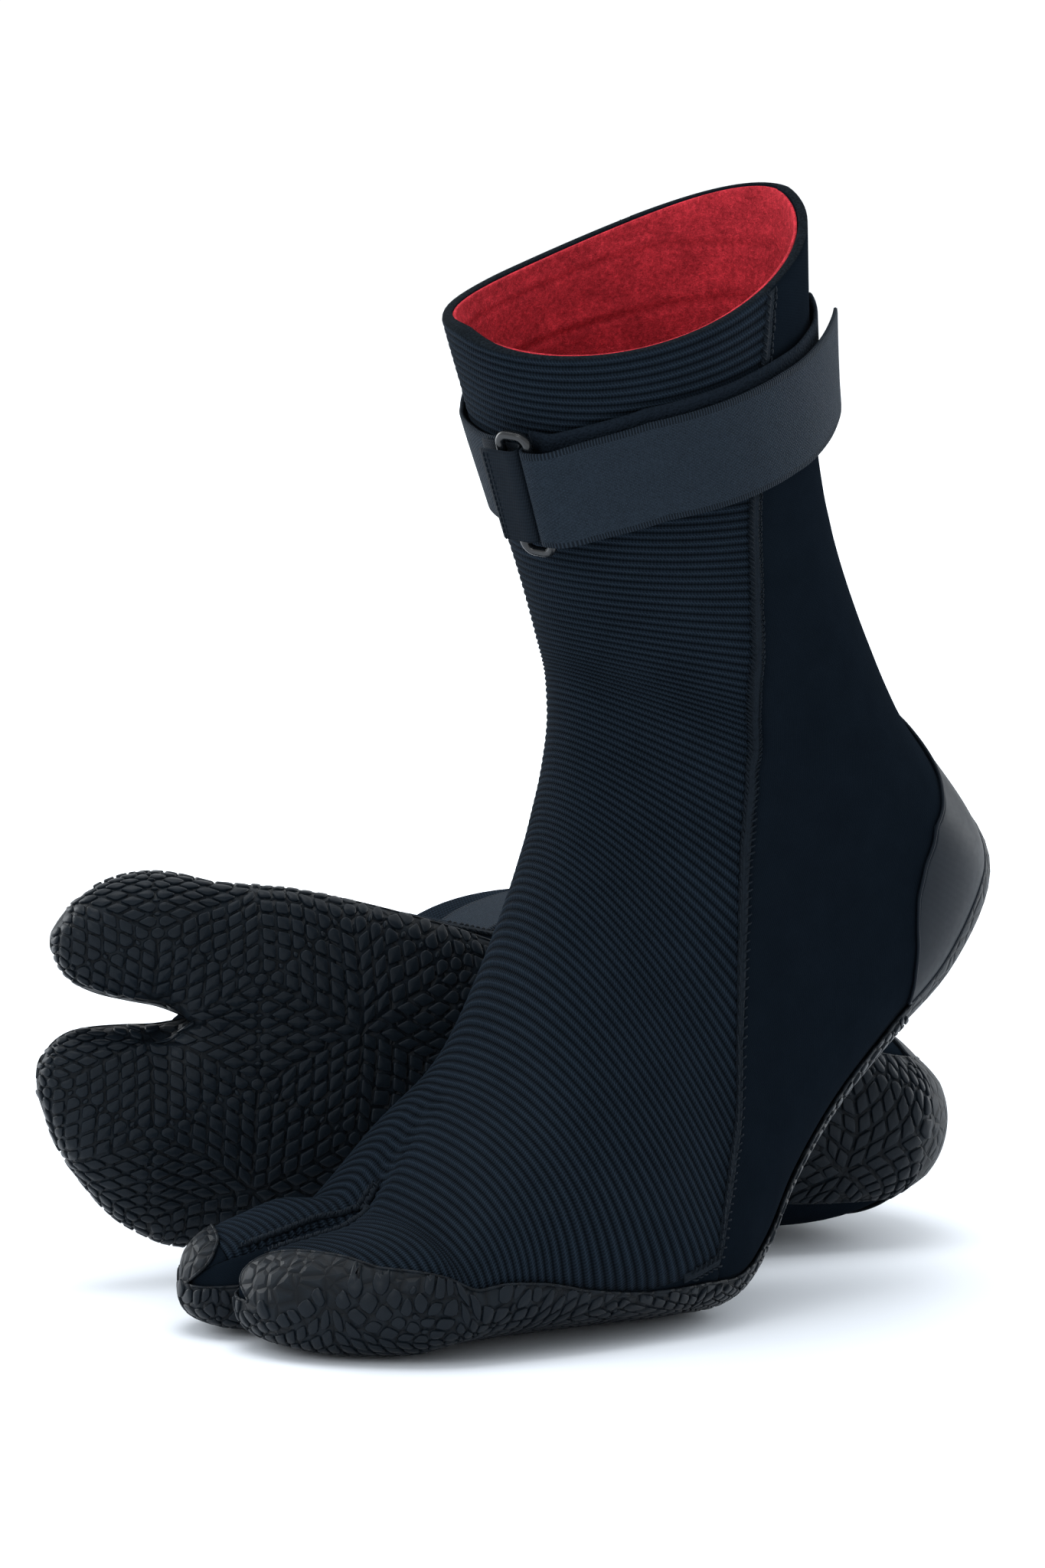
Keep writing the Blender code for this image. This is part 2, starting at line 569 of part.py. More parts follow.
    first, last = run[0], run[-1]
    rest_on = GAP + .55 + GAP      # the strap lies over the raised seams
    low = rest_on + WEB / 2
    base_end, under_start = -1.0, RING_BARS - 1.4
    band("strap_base", [(x, low) for x in np.linspace(first + 9, base_end, 22)], "webbing")
    band("strap_under", [(x, low) for x in np.linspace(under_start, last - 9, 16)], "loop_tape")
    bar = rest_on + WEB + GAP + .9 + 2 * GAP + RING_WIRE       # height of the ring's wire above the skin
    here = surface(np.interp(RING_BARS / 2, run, centre_station), np.interp(RING_BARS / 2, run, shares_round))
    origin = strap_point(RING_BARS / 2, 0, bar)
    along_x = strap_point(RING_BARS, 0, bar) - strap_point(0, 0, bar)
    along_x /= np.linalg.norm(along_x)
    along_v = strap_point(RING_BARS / 2, 8, bar) - strap_point(RING_BARS / 2, -8, bar)
    along_v -= along_x * np.dot(along_v, along_x)
    along_v /= np.linalg.norm(along_v)
    face_out = here[1] - along_x * np.dot(here[1], along_x) - along_v * np.dot(here[1], along_v)
    face_out /= np.linalg.norm(face_out)
    frame.update(origin=origin, x=along_x, v=along_v, out=face_out, bar=bar)
    # the tab: webbing folded round the ring's left bar
    turn = [(5.0 - 1.4 + 1.9 * cos(a), bar + (RING_WIRE + GAP + .45) * sin(a)) for a in np.linspace(-pi / 2, pi / 2, 7)]
    leg = bar - (RING_WIRE + GAP + .45)
    flap = bar + (RING_WIRE + GAP + .45)
    band("ring_tab", [(-7.5, leg), (-3, leg), (.5, leg)] + turn + [(.5, flap), (-3, flap), (-5.2, flap - .2)], "webbing",
         thickness=.9, half=STRAP_HALF - .4)
    # the ring
    rings = []
    corner = 3.0
    outline = []
    for cx, cv, start in ((RING_BARS - corner, RING_HALF - corner, 0), (corner, RING_HALF - corner, pi / 2),
                          (corner, -RING_HALF + corner, pi), (RING_BARS - corner, -RING_HALF + corner, 3 * pi / 2)):
        for a in np.linspace(start, start + pi / 2, 4):
            outline.append((cx + corner * cos(a), cv + corner * sin(a)))
    outline = np.array(outline)
    wire = []
    for k in range(len(outline)):
        before, after = outline[k - 1], outline[(k + 1) % len(outline)]
        t = (after - before) / np.linalg.norm(after - before)
        side_on = along_x * t[1] - along_v * t[0]
        c = origin + along_x * (outline[k][0] - RING_BARS / 2) + along_v * outline[k][1]
        wire.append([c + RING_WIRE * (side_on * cos(a) + face_out * sin(a)) for a in np.linspace(0, 2 * pi, 9)[:-1]])
    wire = np.array(wire)
    count, k = wire.shape[:2]
    faces = [[i * k + j, i * k + (j + 1) % k, (i + 1) % count * k + (j + 1) % k, (i + 1) % count * k + j]
             for i in range(count) for j in range(k)]
    left_bar = origin - along_x * RING_BARS / 2
    right_bar = origin + along_x * RING_BARS / 2
    out["ring"] = add(prefix + "ring", wire.reshape(-1, 3), faces, placed, mats["plastic"], collection, pivot=left_bar)
    # the tail: round the right bar, then back along the lateral side; its end stands away from the boot
    radius = RING_WIRE + GAP + WEB / 2
    tail = [(RING_BARS + radius * cos(a), bar + radius * sin(a)) for a in np.linspace(radians(245), radians(80), 9)]
    rest = rest_on + WEB + GAP + .8 + GAP + WEB / 2
    lift_from = last * .72
    stop = last * .80 + 16
    for x in np.linspace(RING_BARS + 8, stop, 18):
        away = max(0.0, x - lift_from)
        tail.append((x, rest + (bar + radius - .3 - rest) * np.exp(-((x - RING_BARS - 2) / 9.0) ** 2) + .0062 * away ** 2))
    band("strap_tail", tail, "hook_tape", pivot=right_bar)
    patch_height = rest_on + WEB + GAP + .4
    band("hook_patch", [(x, patch_height) for x in np.linspace(last * .38, last * .70, 8)], "hooks", half=STRAP_HALF - 1.5,
         thickness=.8)
    # the patch that sews both ends of the strap to the back of the boot
    rings = []
    for w in (-.972, -.99, 1.0, .99, .972):
        station = 14.44
        step = np.linalg.norm(surface(station + .1, w)[0] - surface(station - .1, w)[0]) / .2
        ring = []
        for v, h in ((-16, 1.1), (16, 1.1), (16, 2.1), (-16, 2.1)):
            p, n = surface(station + v / step, w)
            ring.append(p + surface(station, w)[1] * h)
        rings.append(np.array(ring))
    p, f = ribbon(rings)
    out["strap_anchor"] = add(prefix + "strap_anchor", p, f, placed, mats["webbing"], collection, smooth=False)
    at = {"ring": placed(left_bar[None])[0], "tail": placed(right_bar[None])[0]}
    # both hinges turn about the bars' direction, and a positive turn about it opens the strap
    bar_line = placed((left_bar + along_v)[None])[0] - at["ring"]
    outwards = placed((left_bar + face_out)[None])[0] - at["ring"]
    if np.dot(np.cross(bar_line, at["tail"] - at["ring"]), outwards) < 0:
        bar_line = -bar_line
    return out


def main():
    for obj in list(bpy.data.objects):
        bpy.data.objects.remove(obj)
    for collection in list(bpy.data.collections):
        bpy.data.collections.remove(collection)
    scene = bpy.context.scene
    boots = bpy.data.collections.new("split_toe_surf_boots")
    scene.collection.children.link(boots)
    mats = {
        "knit": material("ribbed_knit_neoprene", (.012, .013, .016), .85),
        "jersey": material("smooth_jersey_neoprene", (.011, .012, .015), .8),
        "plush": material("red_plush_lining", (.30, .012, .020), .95),
        "rubber": material("moulded_sole_rubber", (.016, .018, .021), .55),
        "smooth_rubber": material("smooth_heel_rubber", (.017, .019, .022), .5),
        "thread": material("seam_thread", (.014, .015, .018), .75),
        "webbing": material("nylon_webbing", (.016, .018, .022), .7),
        "loop_tape": material("loop_tape", (.015, .017, .020), .9),
        "hook_tape": material("strap_webbing", (.022, .026, .033), .65),
        "hooks": material("hook_tape", (.014, .015, .018), .6),
        "plastic": material("ring_plastic", (.011, .012, .014), .35),
    }
    boot("left_", TIPTOE, LEAN, standing, mats, boots)
    boot("right_", NEUTRAL, STRAIGHT, lying, mats, boots)


main()
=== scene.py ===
"""The looks of the pair of split-toe surf boots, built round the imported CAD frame.

Every fabric and rubber surface is an offset of the same skin that the CAD layers use; lengths are in mm until a mesh
is made. q runs back from the toes, y towards the lateral side, z up from the ground, in each boot's own frame.
"""

from math import cos, pi, radians, sin, sqrt

import bpy
import numpy as np
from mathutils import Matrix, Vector
from mathutils.bvhtree import BVHTree


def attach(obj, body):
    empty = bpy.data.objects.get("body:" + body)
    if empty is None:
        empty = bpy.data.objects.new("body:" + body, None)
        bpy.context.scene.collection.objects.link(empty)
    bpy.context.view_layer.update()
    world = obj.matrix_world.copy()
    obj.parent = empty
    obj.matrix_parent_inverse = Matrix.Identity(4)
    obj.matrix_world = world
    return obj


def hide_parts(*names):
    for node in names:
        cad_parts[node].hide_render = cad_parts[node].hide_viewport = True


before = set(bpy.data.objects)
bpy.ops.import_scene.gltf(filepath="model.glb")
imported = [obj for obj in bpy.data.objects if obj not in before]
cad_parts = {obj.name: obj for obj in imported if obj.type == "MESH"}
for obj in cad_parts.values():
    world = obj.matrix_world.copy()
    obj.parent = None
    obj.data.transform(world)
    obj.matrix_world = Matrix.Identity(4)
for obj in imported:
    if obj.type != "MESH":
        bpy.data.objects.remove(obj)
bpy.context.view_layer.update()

# ---- the CAD's driving dimensions and tables, mm ----------------------------
PANEL, LINING_OUT, LINING_IN, GAP = 2.6, -2.9, -3.8, 0.3
RUBBER_SIDE, RUBBER_SOLE, COUNTER = 1.5, 3.0, 1.1
STRAP_HALF, WEB, RING_WIRE, RING_BARS, RING_HALF = 15.0, 1.1, 1.3, 9.0, 18.5
ORIGIN_SHIFT = (2.88, -179.83, 0.0)
LEFT_TURN, RIGHT_TURN, RIGHT_SLOPE = 31.0, 18.0, -8.0
LEFT_AT, RIGHT_AT = (-77.0, 0.0, -0.7), (-131.0, 76.0, 70.36)


# Body stations: front line q, z; back line q, z; half width lateral, medial; height share of the widest point;
# y of the front line; superellipse exponents above and below the widest point
TIPTOE = np.array([
    [45, 38, 45, 3.5, 52, 50, .40, -11, 2.1, 2.9],
    [62.9, 59.4, 70, 3.5, 53.5, 50.5, .40, -10, 2.1, 2.9],
    [74.6, 72.7, 96, 3.5, 54, 49, .38, -8, 2.05, 2.9],
    [82.4, 90.7, 124, 3.5, 52, 46.5, .36, -6, 2.0, 2.9],
    [88.2, 108.3, 142, 5.5, 48, 43.5, .36, -4, 2.0, 2.8],
    [92.6, 122.8, 153.5, 16, 44.5, 41, .38, -2, 2.0, 2.7],
    [95.8, 134.2, 165, 34, 42, 39, .42, 0, 2.0, 2.6],
    [98.3, 144.6, 182.5, 54, 39.5, 37.5, .46, 0, 2.0, 2.4],
    [100.2, 155.1, 204, 73, 38, 36.5, .48, 0, 2.0, 2.2],
    [101.2, 164.5, 225, 91, 37, 36, .50, 0, 2.0, 2.1],
    [100.4, 175.1, 238.3, 116.1, 37, 36, .52, 0, 2.0, 2.0],
    [97.3, 189.0, 205.4, 168.2, 37.5, 36.5, .52, 0, 2.0, 2.0],
    [91.6, 205.0, 187.4, 204.6, 39, 38, .50, 0, 2.0, 2.0],
    [82.7, 224.2, 177.5, 230.8, 40.5, 39.5, .50, 0, 2.0, 2.0],
    [73.9, 242.2, 171.8, 255.5, 41.5, 40.5, .50, 0, 2.0, 2.0],
    [66.0, 258.1, 167.4, 284.2, 42, 41, .50, 0, 2.0, 2.0],
    [58.7, 273.3, 164.1, 311.6, 42.5, 41.5, .50, 0, 2.0, 2.0],
])
NEUTRAL = np.array([
    [45, 38, 45, 3.5, 52, 49, .34, -11, 2.1, 3.3],
    [64, 47, 70, 3.5, 53, 49.5, .30, -10, 2.1, 3.4],
    [84, 57, 95, 3.5, 53, 48, .27, -8, 2.05, 3.4],
    [104, 68, 120, 3.5, 51, 46, .25, -6, 2.0, 3.4],
    [122, 80, 148, 4.0, 48, 43, .25, -4, 2.0, 3.3],
    [136, 91, 178, 5.0, 43.5, 40, .28, -2, 2.0, 3.1],
    [147, 101, 208, 4.5, 40, 37.5, .34, 0, 2.0, 2.9],
    [156, 111, 238, 3.5, 38, 36.5, .42, 0, 2.0, 2.7],
    [163, 120, 264, 7.0, 37, 36, .46, 0, 2.0, 2.3],
    [168, 129, 277, 22, 36.5, 35.5, .50, 0, 2.0, 2.1],
    [171, 139, 279, 44, 36, 35.5, .52, 0, 2.0, 2.0],
    [172, 155, 268, 96, 35.5, 36, .52, 0, 2.0, 2.0],
    [171, 172, 265, 132, 34.5, 37.5, .50, 0, 2.0, 2.0],
    [169, 188, 266, 158, 34, 39, .50, 0, 2.0, 2.0],
    [166, 205, 268, 184, 34, 40, .50, 0, 2.0, 2.0],
    [163, 222, 271, 211, 35, 41, .50, 0, 2.0, 2.0],
    [160, 239, 274, 238, 36.5, 41.5, .50, 0, 2.0, 2.0],
])
# sideways tilt of each station in degrees, and the shift that comes with it
LEAN = [(0, 0)] * 9 + [(1, 0), (2, .5), (4, 1.5), (7, 3), (10, 6), (13, 9.5), (16, 14), (18, 18)]
STRAIGHT = [(0, 0)] * 17
RIM_DIP = (5.0, 11.0)  # the rim dips between its front and back corners: lateral, medial

# Toe lobes in plan: distance from the crotch; inner edge q, y; outer edge q, y; z of the underside, z of the top
LOBE_B = np.array([
    [9, 35, -7.6, 37, 50.0, 3.5, 35.0],
    [19, 24, -6.2, 28, 45.5, 3.8, 32.0],
    [28, 14, -4.6, 19.5, 38.2, 4.4, 29.6],
    [35, 7.5, -2.4, 12.5, 30.5, 5.3, 27.2],
    [40, 3.6, 1.2, 7.0, 22.6, 7.0, 24.0],
    [43, 1.9, 5.2, 3.6, 16.6, 9.6, 20.6],
])
LOBE_A = np.array([
    [9, 35, -14.4, 35, -50.0, 3.5, 34.5],
    [19, 24, -15.6, 24, -49.5, 3.8, 31.5],
    [28, 14, -17.0, 15, -46.6, 4.4, 29.0],
    [35, 7.2, -19.6, 8.6, -42.2, 5.3, 26.6],
    [40, 3.0, -23.6, 3.8, -37.0, 7.0, 23.6],
    [43, 1.0, -27.6, 1.3, -32.6, 9.6, 20.2],
])
TIP_B, TIP_A = (1.2, 10.5, 15.0), (0.2, -30.2, 14.8)
CORNER = radians(52.0)  # where the walls of the cleft start on a lobe's section

# Edges on the skin, as the share of the way round from the front line to the back line
SEAM = ([3.4, 3.8, 4.4, 5.2, 6, 7, 8, 8.8, 9.4, 10, 10.4, 11, 12, 13.2, 14.4, 15.2, 16],
        [.655, .613, .585, .562, .515, .451, .391, .357, .343, .339, .361, .428, .494, .547, .599, .634, .665])
RAND_FORE = ([0, .35, 1.4, 2.3, 3.4], [.48, .495, .575, .635, .655])
RAND_LOBE = ([0, .25, .54, .68, .8], [.48, .44, .385, .26, .09])
RAND_HIND = ([3.4, 3.9, 4.7, 5.5, 6.6, 7.8, 9, 9.75, 10.4, 16], [.70, .735, .775, .81, .85, .875, .88, .885, .955, .955])
COUNTER_EDGE = ([8.3, 8.6, 9.0, 9.3, 9.7, 10.1, 10.4, 10.7, 10.85], [.868, .80, .74, .71, .70, .715, .79, .89, .945])


# ---- interpolation ----------------------------------------------------------
def hermite(s, points, slopes, t):
    s, t = np.asarray(s, float), np.asarray(t, float)
    i = np.clip(np.searchsorted(s, t, side="right") - 1, 0, len(s) - 2)
    h = s[i + 1] - s[i]
    x = (t - s[i]) / h
    shape = (-1,) + (1,) * (points.ndim - 1)
    x, h = x.reshape(shape), h.reshape(shape)
    return ((2 * x**3 - 3 * x**2 + 1) * points[i] + (x**3 - 2 * x**2 + x) * h * slopes[i]
            + (-2 * x**3 + 3 * x**2) * points[i + 1] + (x**3 - x**2) * h * slopes[i + 1])


def slopes_of(s, points):
    s = np.asarray(s, float)
    out = np.zeros_like(points)
    h = np.diff(s)
    d = np.diff(points, axis=0) / h.reshape((-1,) + (1,) * (points.ndim - 1))
    for j in range(1, len(s) - 1):
        out[j] = (d[j - 1] * h[j] + d[j] * h[j - 1]) / (h[j] + h[j - 1])
    out[0] = 1.5 * d[0] - 0.5 * out[1]
    out[-1] = 1.5 * d[-1] - 0.5 * out[-2]
    return out


def shares(points):
    d = np.r_[0, np.cumsum(np.linalg.norm(np.diff(points, axis=0), axis=1))]
    return d / d[-1]


def along(points, share, at):
    return np.stack([np.interp(at, share, points[:, k]) for k in range(3)], 1)


def superellipse(angle, above, below):
    c, s = np.cos(angle), np.sin(angle)
    e = np.where(c > 0, above, below)
    return np.sign(s) * np.abs(s) ** (2 / e), np.sign(c) * np.abs(c) ** (2 / e)


def half_section(row, side):
    """From the front point over one flank to the back point."""
    front, back = row[0:2], row[2:4]
    width = row[4] if side > 0 else row[5]
    height = np.linalg.norm(front - back)
    up = (front - back) / height
    x, c = superellipse(np.linspace(0, pi, 721), row[8], row[9])
    widest = row[6] * height
    h = np.where(c > 0, widest + (height - widest) * c, widest + widest * c)
    return np.stack([back[0] + up[0] * h, row[7] + (side * width - row[7]) * x, back[1] + up[1] * h], 1)


def lobe_section(row, start, stop):
    inner, outer = row[1:3], row[3:5]
    x, c = superellipse(np.linspace(start, stop, 721), 2.25, 2.7)
    plan = (inner + outer) / 2 + ((outer - inner) / 2) * x[:, None]
    return np.stack([plan[:, 0], plan[:, 1], (row[5] + row[6]) / 2 + (row[6] - row[5]) / 2 * c], 1)


def station_places(body):
    run = [np.r_[0, np.cumsum(np.linalg.norm(np.diff(body[:, k:k + 2], axis=0), axis=1))] for k in (0, 2)]
    return (run[0] + run[1]) / 2


def standing(p):
    turn = radians(LEFT_TURN)
    q, y, z = p[..., 0], p[..., 1], p[..., 2]
    return np.stack([q * cos(turn) + y * sin(turn) + LEFT_AT[0], q * sin(turn) - y * cos(turn) + LEFT_AT[1],
                     z + LEFT_AT[2]], -1) + np.array(ORIGIN_SHIFT)


def lying(p):
    turn, slope = radians(RIGHT_TURN), radians(RIGHT_SLOPE)
    q, y, z = p[..., 0], p[..., 1], p[..., 2]
    ahead, up = q * cos(slope) + y * sin(slope), q * sin(slope) - y * cos(slope)
    return np.stack([ahead * cos(turn) - z * sin(turn) + RIGHT_AT[0], ahead * sin(turn) + z * cos(turn) + RIGHT_AT[1],
                     up + RIGHT_AT[2]], -1) + np.array(ORIGIN_SHIFT)


# ---- the skin as functions of station and share -----------------------------
DENSE = 240
RIB = 2.45                       # rib pitch of the knit, mm


def smooth(x):
    x = np.clip(x, 0, 1)
    return x * x * (3 - 2 * x)


def hashed(i, j=0, k=0):
    """A repeatable value from 0 to 1 for each whole-number place."""
    i, j = np.asarray(i, np.int64), np.asarray(j, np.int64)
    h = (i * 374761393 + j * 668265263 + k * 2147483647) & 0xFFFFFFFF
    h = ((h ^ (h >> 13)) * 1274126177) & 0xFFFFFFFF
    h = h ^ (h >> 16)
    return (h & 0xFFFFFF) / float(0xFFFFFF)


def ripple(x, y, k=0):
    """Smooth noise from -1 to 1 over the plane, one lump a unit across."""
    i, j = np.floor(x).astype(np.int64), np.floor(y).astype(np.int64)
    u, v = smooth(x - i), smooth(y - j)
    a, b = hashed(i, j, k), hashed(i + 1, j, k)
    c, d = hashed(i, j + 1, k), hashed(i + 1, j + 1, k)
    return ((a * (1 - u) + b * u) * (1 - v) + (c * (1 - u) + d * u) * v) * 2 - 1


class Boot:
    def __init__(self, side_name, body, lean, placed, pressed):
        self.name, self.body_name, self.placed, self.pressed = side_name, side_name + "boot", placed, pressed
        self.place = station_places(body)
        dense = np.linspace(0, 1, DENSE + 1)
        self.halves, self.lobes = {}, {}
        for side in (1, -1):
            sections = []
            for j, row in enumerate(body):
                points = half_section(row, side)
                points = along(points, shares(points), dense)
                if j < 2:
                    dip = (5.5, 1.6)[j] * np.exp(-((points[:, 1] - row[7]) / 6.0) ** 2)
                    points[:, 2] -= dip * np.clip((points[:, 2] - 18) / 14, 0, 1)
                if j == 0:
                    points[:, 2] += 2.0 * np.exp(-((points[:, 1] - row[7]) / 5.0) ** 2) * (points[:, 2] < 14)
                if j >= 14:
                    points[:, 2] -= RIM_DIP[side < 0] * np.sin(pi * dense) ** 1.3 * (.25, .6, 1.0)[j - 14]
                tilt, shift = lean[j]
                y = points[:, 1].copy()
                points[:, 2] -= y * sin(radians(tilt))
                points[:, 1] = y * cos(radians(tilt)) + shift
                sections.append(points)
            sections = np.array(sections)
            slopes = slopes_of(self.place, sections)
            slopes[0] = (sections[1] - sections[0]) / (self.place[1] - self.place[0])
            self.halves[side] = (self.place, sections, slopes)
            table, tip = (LOBE_B, TIP_B) if side > 0 else (LOBE_A, TIP_A)
            lobe = [sections[0]]
            for row in table:
                points = lobe_section(row, -CORNER, pi + CORNER)
                lobe.append(along(points, shares(points), dense))
            lobe.append(np.repeat(np.array([tip]), len(dense), 0))
            lobe = np.array(lobe)
            at = np.r_[0, table[:, 0], 45.0]
            lobe_slopes = slopes_of(at, lobe)
            lobe_slopes[0] = -slopes[0]
            lobe_slopes[-1] = (lobe[-1] - lobe[-2]) / (at[-1] - at[-2])
            self.lobes[side] = (at, lobe, lobe_slopes)
        walls = {}
        for side, table in ((1, LOBE_B), (-1, LOBE_A)):
            out = []
            for row in table:
                points = lobe_section(row, -CORNER, CORNER - pi)
                out.append(along(points, shares(points), dense))
            walls[side] = np.array(out)
        top, bottom = self.halves[1][1][0][0], self.halves[1][1][0][-1]
        crotch = top * (1 - dense[:, None]) + bottom * dense[:, None]
        crotch[:, 0] -= np.sin(pi * dense)
        sections = np.concatenate([np.repeat(np.array([TIP_B]), len(dense), 0)[None], walls[1][::-1], crotch[None],
                                   walls[-1], np.repeat(np.array([TIP_A]), len(dense), 0)[None]])
        at = np.r_[-45.0, -LOBE_B[::-1, 0], 0, LOBE_A[:, 0], 45.0]
        self.cleft = (at, sections, slopes_of(at, sections))
        self._tables()

    @staticmethod
    def _value(table, x, w):
        at, sections, slopes = table
        x, w = np.broadcast_arrays(np.asarray(x, float), np.asarray(w, float))
        i = np.clip(np.searchsorted(at, x, side="right") - 1, 0, len(at) - 2)
        h = at[i + 1] - at[i]
        t = ((x - at[i]) / h)[..., None]
        j = np.clip((w * DENSE).astype(int), 0, DENSE - 1)
        f = (w * DENSE - j)[..., None]

        def take(a, ii):
            return a[ii, j] * (1 - f) + a[ii, j + 1] * f

        h = h[..., None]
        return ((2 * t**3 - 3 * t**2 + 1) * take(sections, i) + (t**3 - 2 * t**2 + t) * h * take(slopes, i)
                + (-2 * t**3 + 3 * t**2) * take(sections, i + 1) + (t**3 - t**2) * h * take(slopes, i + 1))

    def body(self, side, s, w):
        return self._value(self.halves[side], np.interp(s, np.arange(17), self.place), w)

    def lobe(self, side, t, w):
        return self.press(self._value(self.lobes[side], np.asarray(t, float) * 45.0, w), side)

    def press(self, p, side):
        """The toes of a boot that stands on them lie against each other: each lobe leans in over the cleft."""
        if not self.pressed:
            return p
        table, rest = (LOBE_B, -10.5) if side > 0 else (LOBE_A, -11.5)
        q = p[..., 0]
        inner = np.interp(q, table[::-1, 1], table[::-1, 2])
        outer = np.interp(q, table[::-1, 3], table[::-1, 4])
        move = np.clip((rest - inner) * -side, 0, 6.0) * smooth((44.5 - q) / 9)
        near = smooth(1 - (p[..., 1] - inner) / np.where(np.abs(outer - inner) < 4, 4 * side, outer - inner))
        out = p.copy()
        out[..., 1] -= side * move * near
        return out

    def gusset(self, t, g):
        """t runs from -1, the tip of the outer lobe, past 0 in the crotch, to 1, the tip of the inner one."""
        t, g = np.broadcast_arrays(np.asarray(t, float), np.asarray(g, float))
        out = self._value(self.cleft, t * 45.0, g)
        out = np.where((t < 0)[..., None], self.press(out, 1), self.press(out, -1))
        for edge in (0, 1):
            line = np.where((t < 0)[..., None], self.lobe(1, np.abs(t), float(edge)), self.lobe(-1, np.abs(t), float(edge)))
            here = self._value(self.cleft, t * 45.0, np.full(t.shape, float(edge)))
            here = np.where((t < 0)[..., None], self.press(here, 1), self.press(here, -1))
            near = np.clip(1 - g / .5, 0, 1) if edge == 0 else np.clip((g - .5) / .5, 0, 1)
            out = out + (line - here) * near[..., None] ** 2
        return out

    def _tables(self):
        rows, cols = np.linspace(0, 16, 161), np.linspace(0, 1, 101)
        self.fine, self.fine_n = {}, {}
        for side in (1, -1):
            self.fine[side] = self.body(side, rows[:, None], cols[None])
        for side in (1, -1):
            g = self.fine[side]
            both = np.concatenate([self.fine[-side][:, 3:0:-1], g, self.fine[-side][:, -2:-5:-1]], axis=1)
            n = np.cross(np.gradient(both, axis=0), np.gradient(both, axis=1))[:, 3:-3]
            n /= np.linalg.norm(n, axis=2)[..., None]
            outward = g - (self.fine[1][:, 50] + self.fine[-1][:, 50])[:, None] / 2
            self.fine_n[side] = -n if (n * outward).sum() < 0 else n

    def surface(self, s, w):
        """Points and normals at stations s and signed shares w: positive lateral, negative medial."""
        s, w = np.broadcast_arrays(np.asarray(s, float), np.asarray(w, float))
        x, y = np.clip(s, 0, 16) * 10, np.clip(np.abs(w), 0, 1) * 100
        i, j = np.clip(x.astype(int), 0, 159), np.clip(y.astype(int), 0, 99)
        x, y = (x - i)[..., None], (y - j)[..., None]
        lateral = (w >= 0)[..., None]
        out = []
        for t in (self.fine, self.fine_n):
            a = [np.where(lateral, t[1][ii, jj], t[-1][ii, jj]) for ii, jj in ((i, j), (i + 1, j), (i, j + 1), (i + 1, j + 1))]
            out.append(a[0] * (1 - x) * (1 - y) + a[1] * x * (1 - y) + a[2] * (1 - x) * y + a[3] * x * y)
        return out[0], out[1] / np.linalg.norm(out[1], axis=-1, keepdims=True)


# ---- meshes -----------------------------------------------------------------
class Sheet:
    """An open surface of several grids, welded where they meet."""

    def __init__(self):
        self.p, self.uv, self.h, self.cells, self.count = [], [], [], [], 0

    def grid(self, points, uv, flip=False, height=None):
        """points r x c x 3, uv r x c x 2 in mm; height is any number kept for each point."""
        r, c = points.shape[:2]
        ids = np.arange(r * c).reshape(r, c) + self.count
        quads = np.stack([ids[:-1, :-1], ids[:-1, 1:], ids[1:, 1:], ids[1:, :-1]], -1).reshape(-1, 4)
        self.cells.append(quads[:, ::-1] if flip else quads)
        self.p.append(points.reshape(-1, 3))
        self.uv.append(np.broadcast_to(uv, (r, c, 2)).reshape(-1, 2))
        self.h.append(np.zeros(r * c) if height is None else np.broadcast_to(height, (r, c)).reshape(-1))
        self.count += r * c

    def done(self):
        p, uv, h, quads = np.concatenate(self.p), np.concatenate(self.uv), np.concatenate(self.h), np.concatenate(self.cells)
        _, first, index = np.unique(np.round(p * 500).astype(np.int64), axis=0, return_index=True, return_inverse=True)
        index = index.reshape(-1)
        quads = index[quads]
        p, uv, h = p[first], uv[first], h[first]
        a, b, c, d = quads.T
        swap = np.linalg.norm(p[a] - p[c], axis=1) > np.linalg.norm(p[b] - p[d], axis=1)
        tris = np.concatenate([np.where(swap[:, None], np.stack([a, b, d], 1), np.stack([a, b, c], 1)),
                               np.where(swap[:, None], np.stack([b, c, d], 1), np.stack([a, c, d], 1))])
        keep = (tris[:, 0] != tris[:, 1]) & (tris[:, 1] != tris[:, 2]) & (tris[:, 0] != tris[:, 2])
        tris = tris[keep]
        used, inverse = np.unique(tris, return_inverse=True)
        tris = inverse.reshape(-1, 3)
        final = np.zeros(len(p), int)
        final[used] = np.arange(len(used))
        self.index = final[index.reshape(-1)]
        return p[used], uv[used], h[used], tris


def vertex_normals(p, tris):
    n = np.cross(p[tris[:, 1]] - p[tris[:, 0]], p[tris[:, 2]] - p[tris[:, 0]])
    n /= np.maximum(np.linalg.norm(n, axis=1), 1e-12)[:, None]
    out = np.zeros_like(p)
    for k in range(3):
        a = p[tris[:, (k + 1) % 3]] - p[tris[:, k]]
        b = p[tris[:, (k + 2) % 3]] - p[tris[:, k]]
        angle = np.arccos(np.clip((a * b).sum(1) / (np.linalg.norm(a, axis=1) * np.linalg.norm(b, axis=1) + 1e-12), -1, 1))
        for axis in range(3):
            out[:, axis] += np.bincount(tris[:, k], n[:, axis] * angle, minlength=len(p))
    return out / np.maximum(np.linalg.norm(out, axis=1), 1e-12)[:, None]


def border_of(tris, count):
    """Directed border edges (a, b), the surface on their left."""
    e = np.concatenate([tris[:, [0, 1]], tris[:, [1, 2]], tris[:, [2, 0]]]).astype(np.int64)
    forward, back = e[:, 0] * count + e[:, 1], e[:, 1] * count + e[:, 0]
    return e[~np.isin(forward, back)]


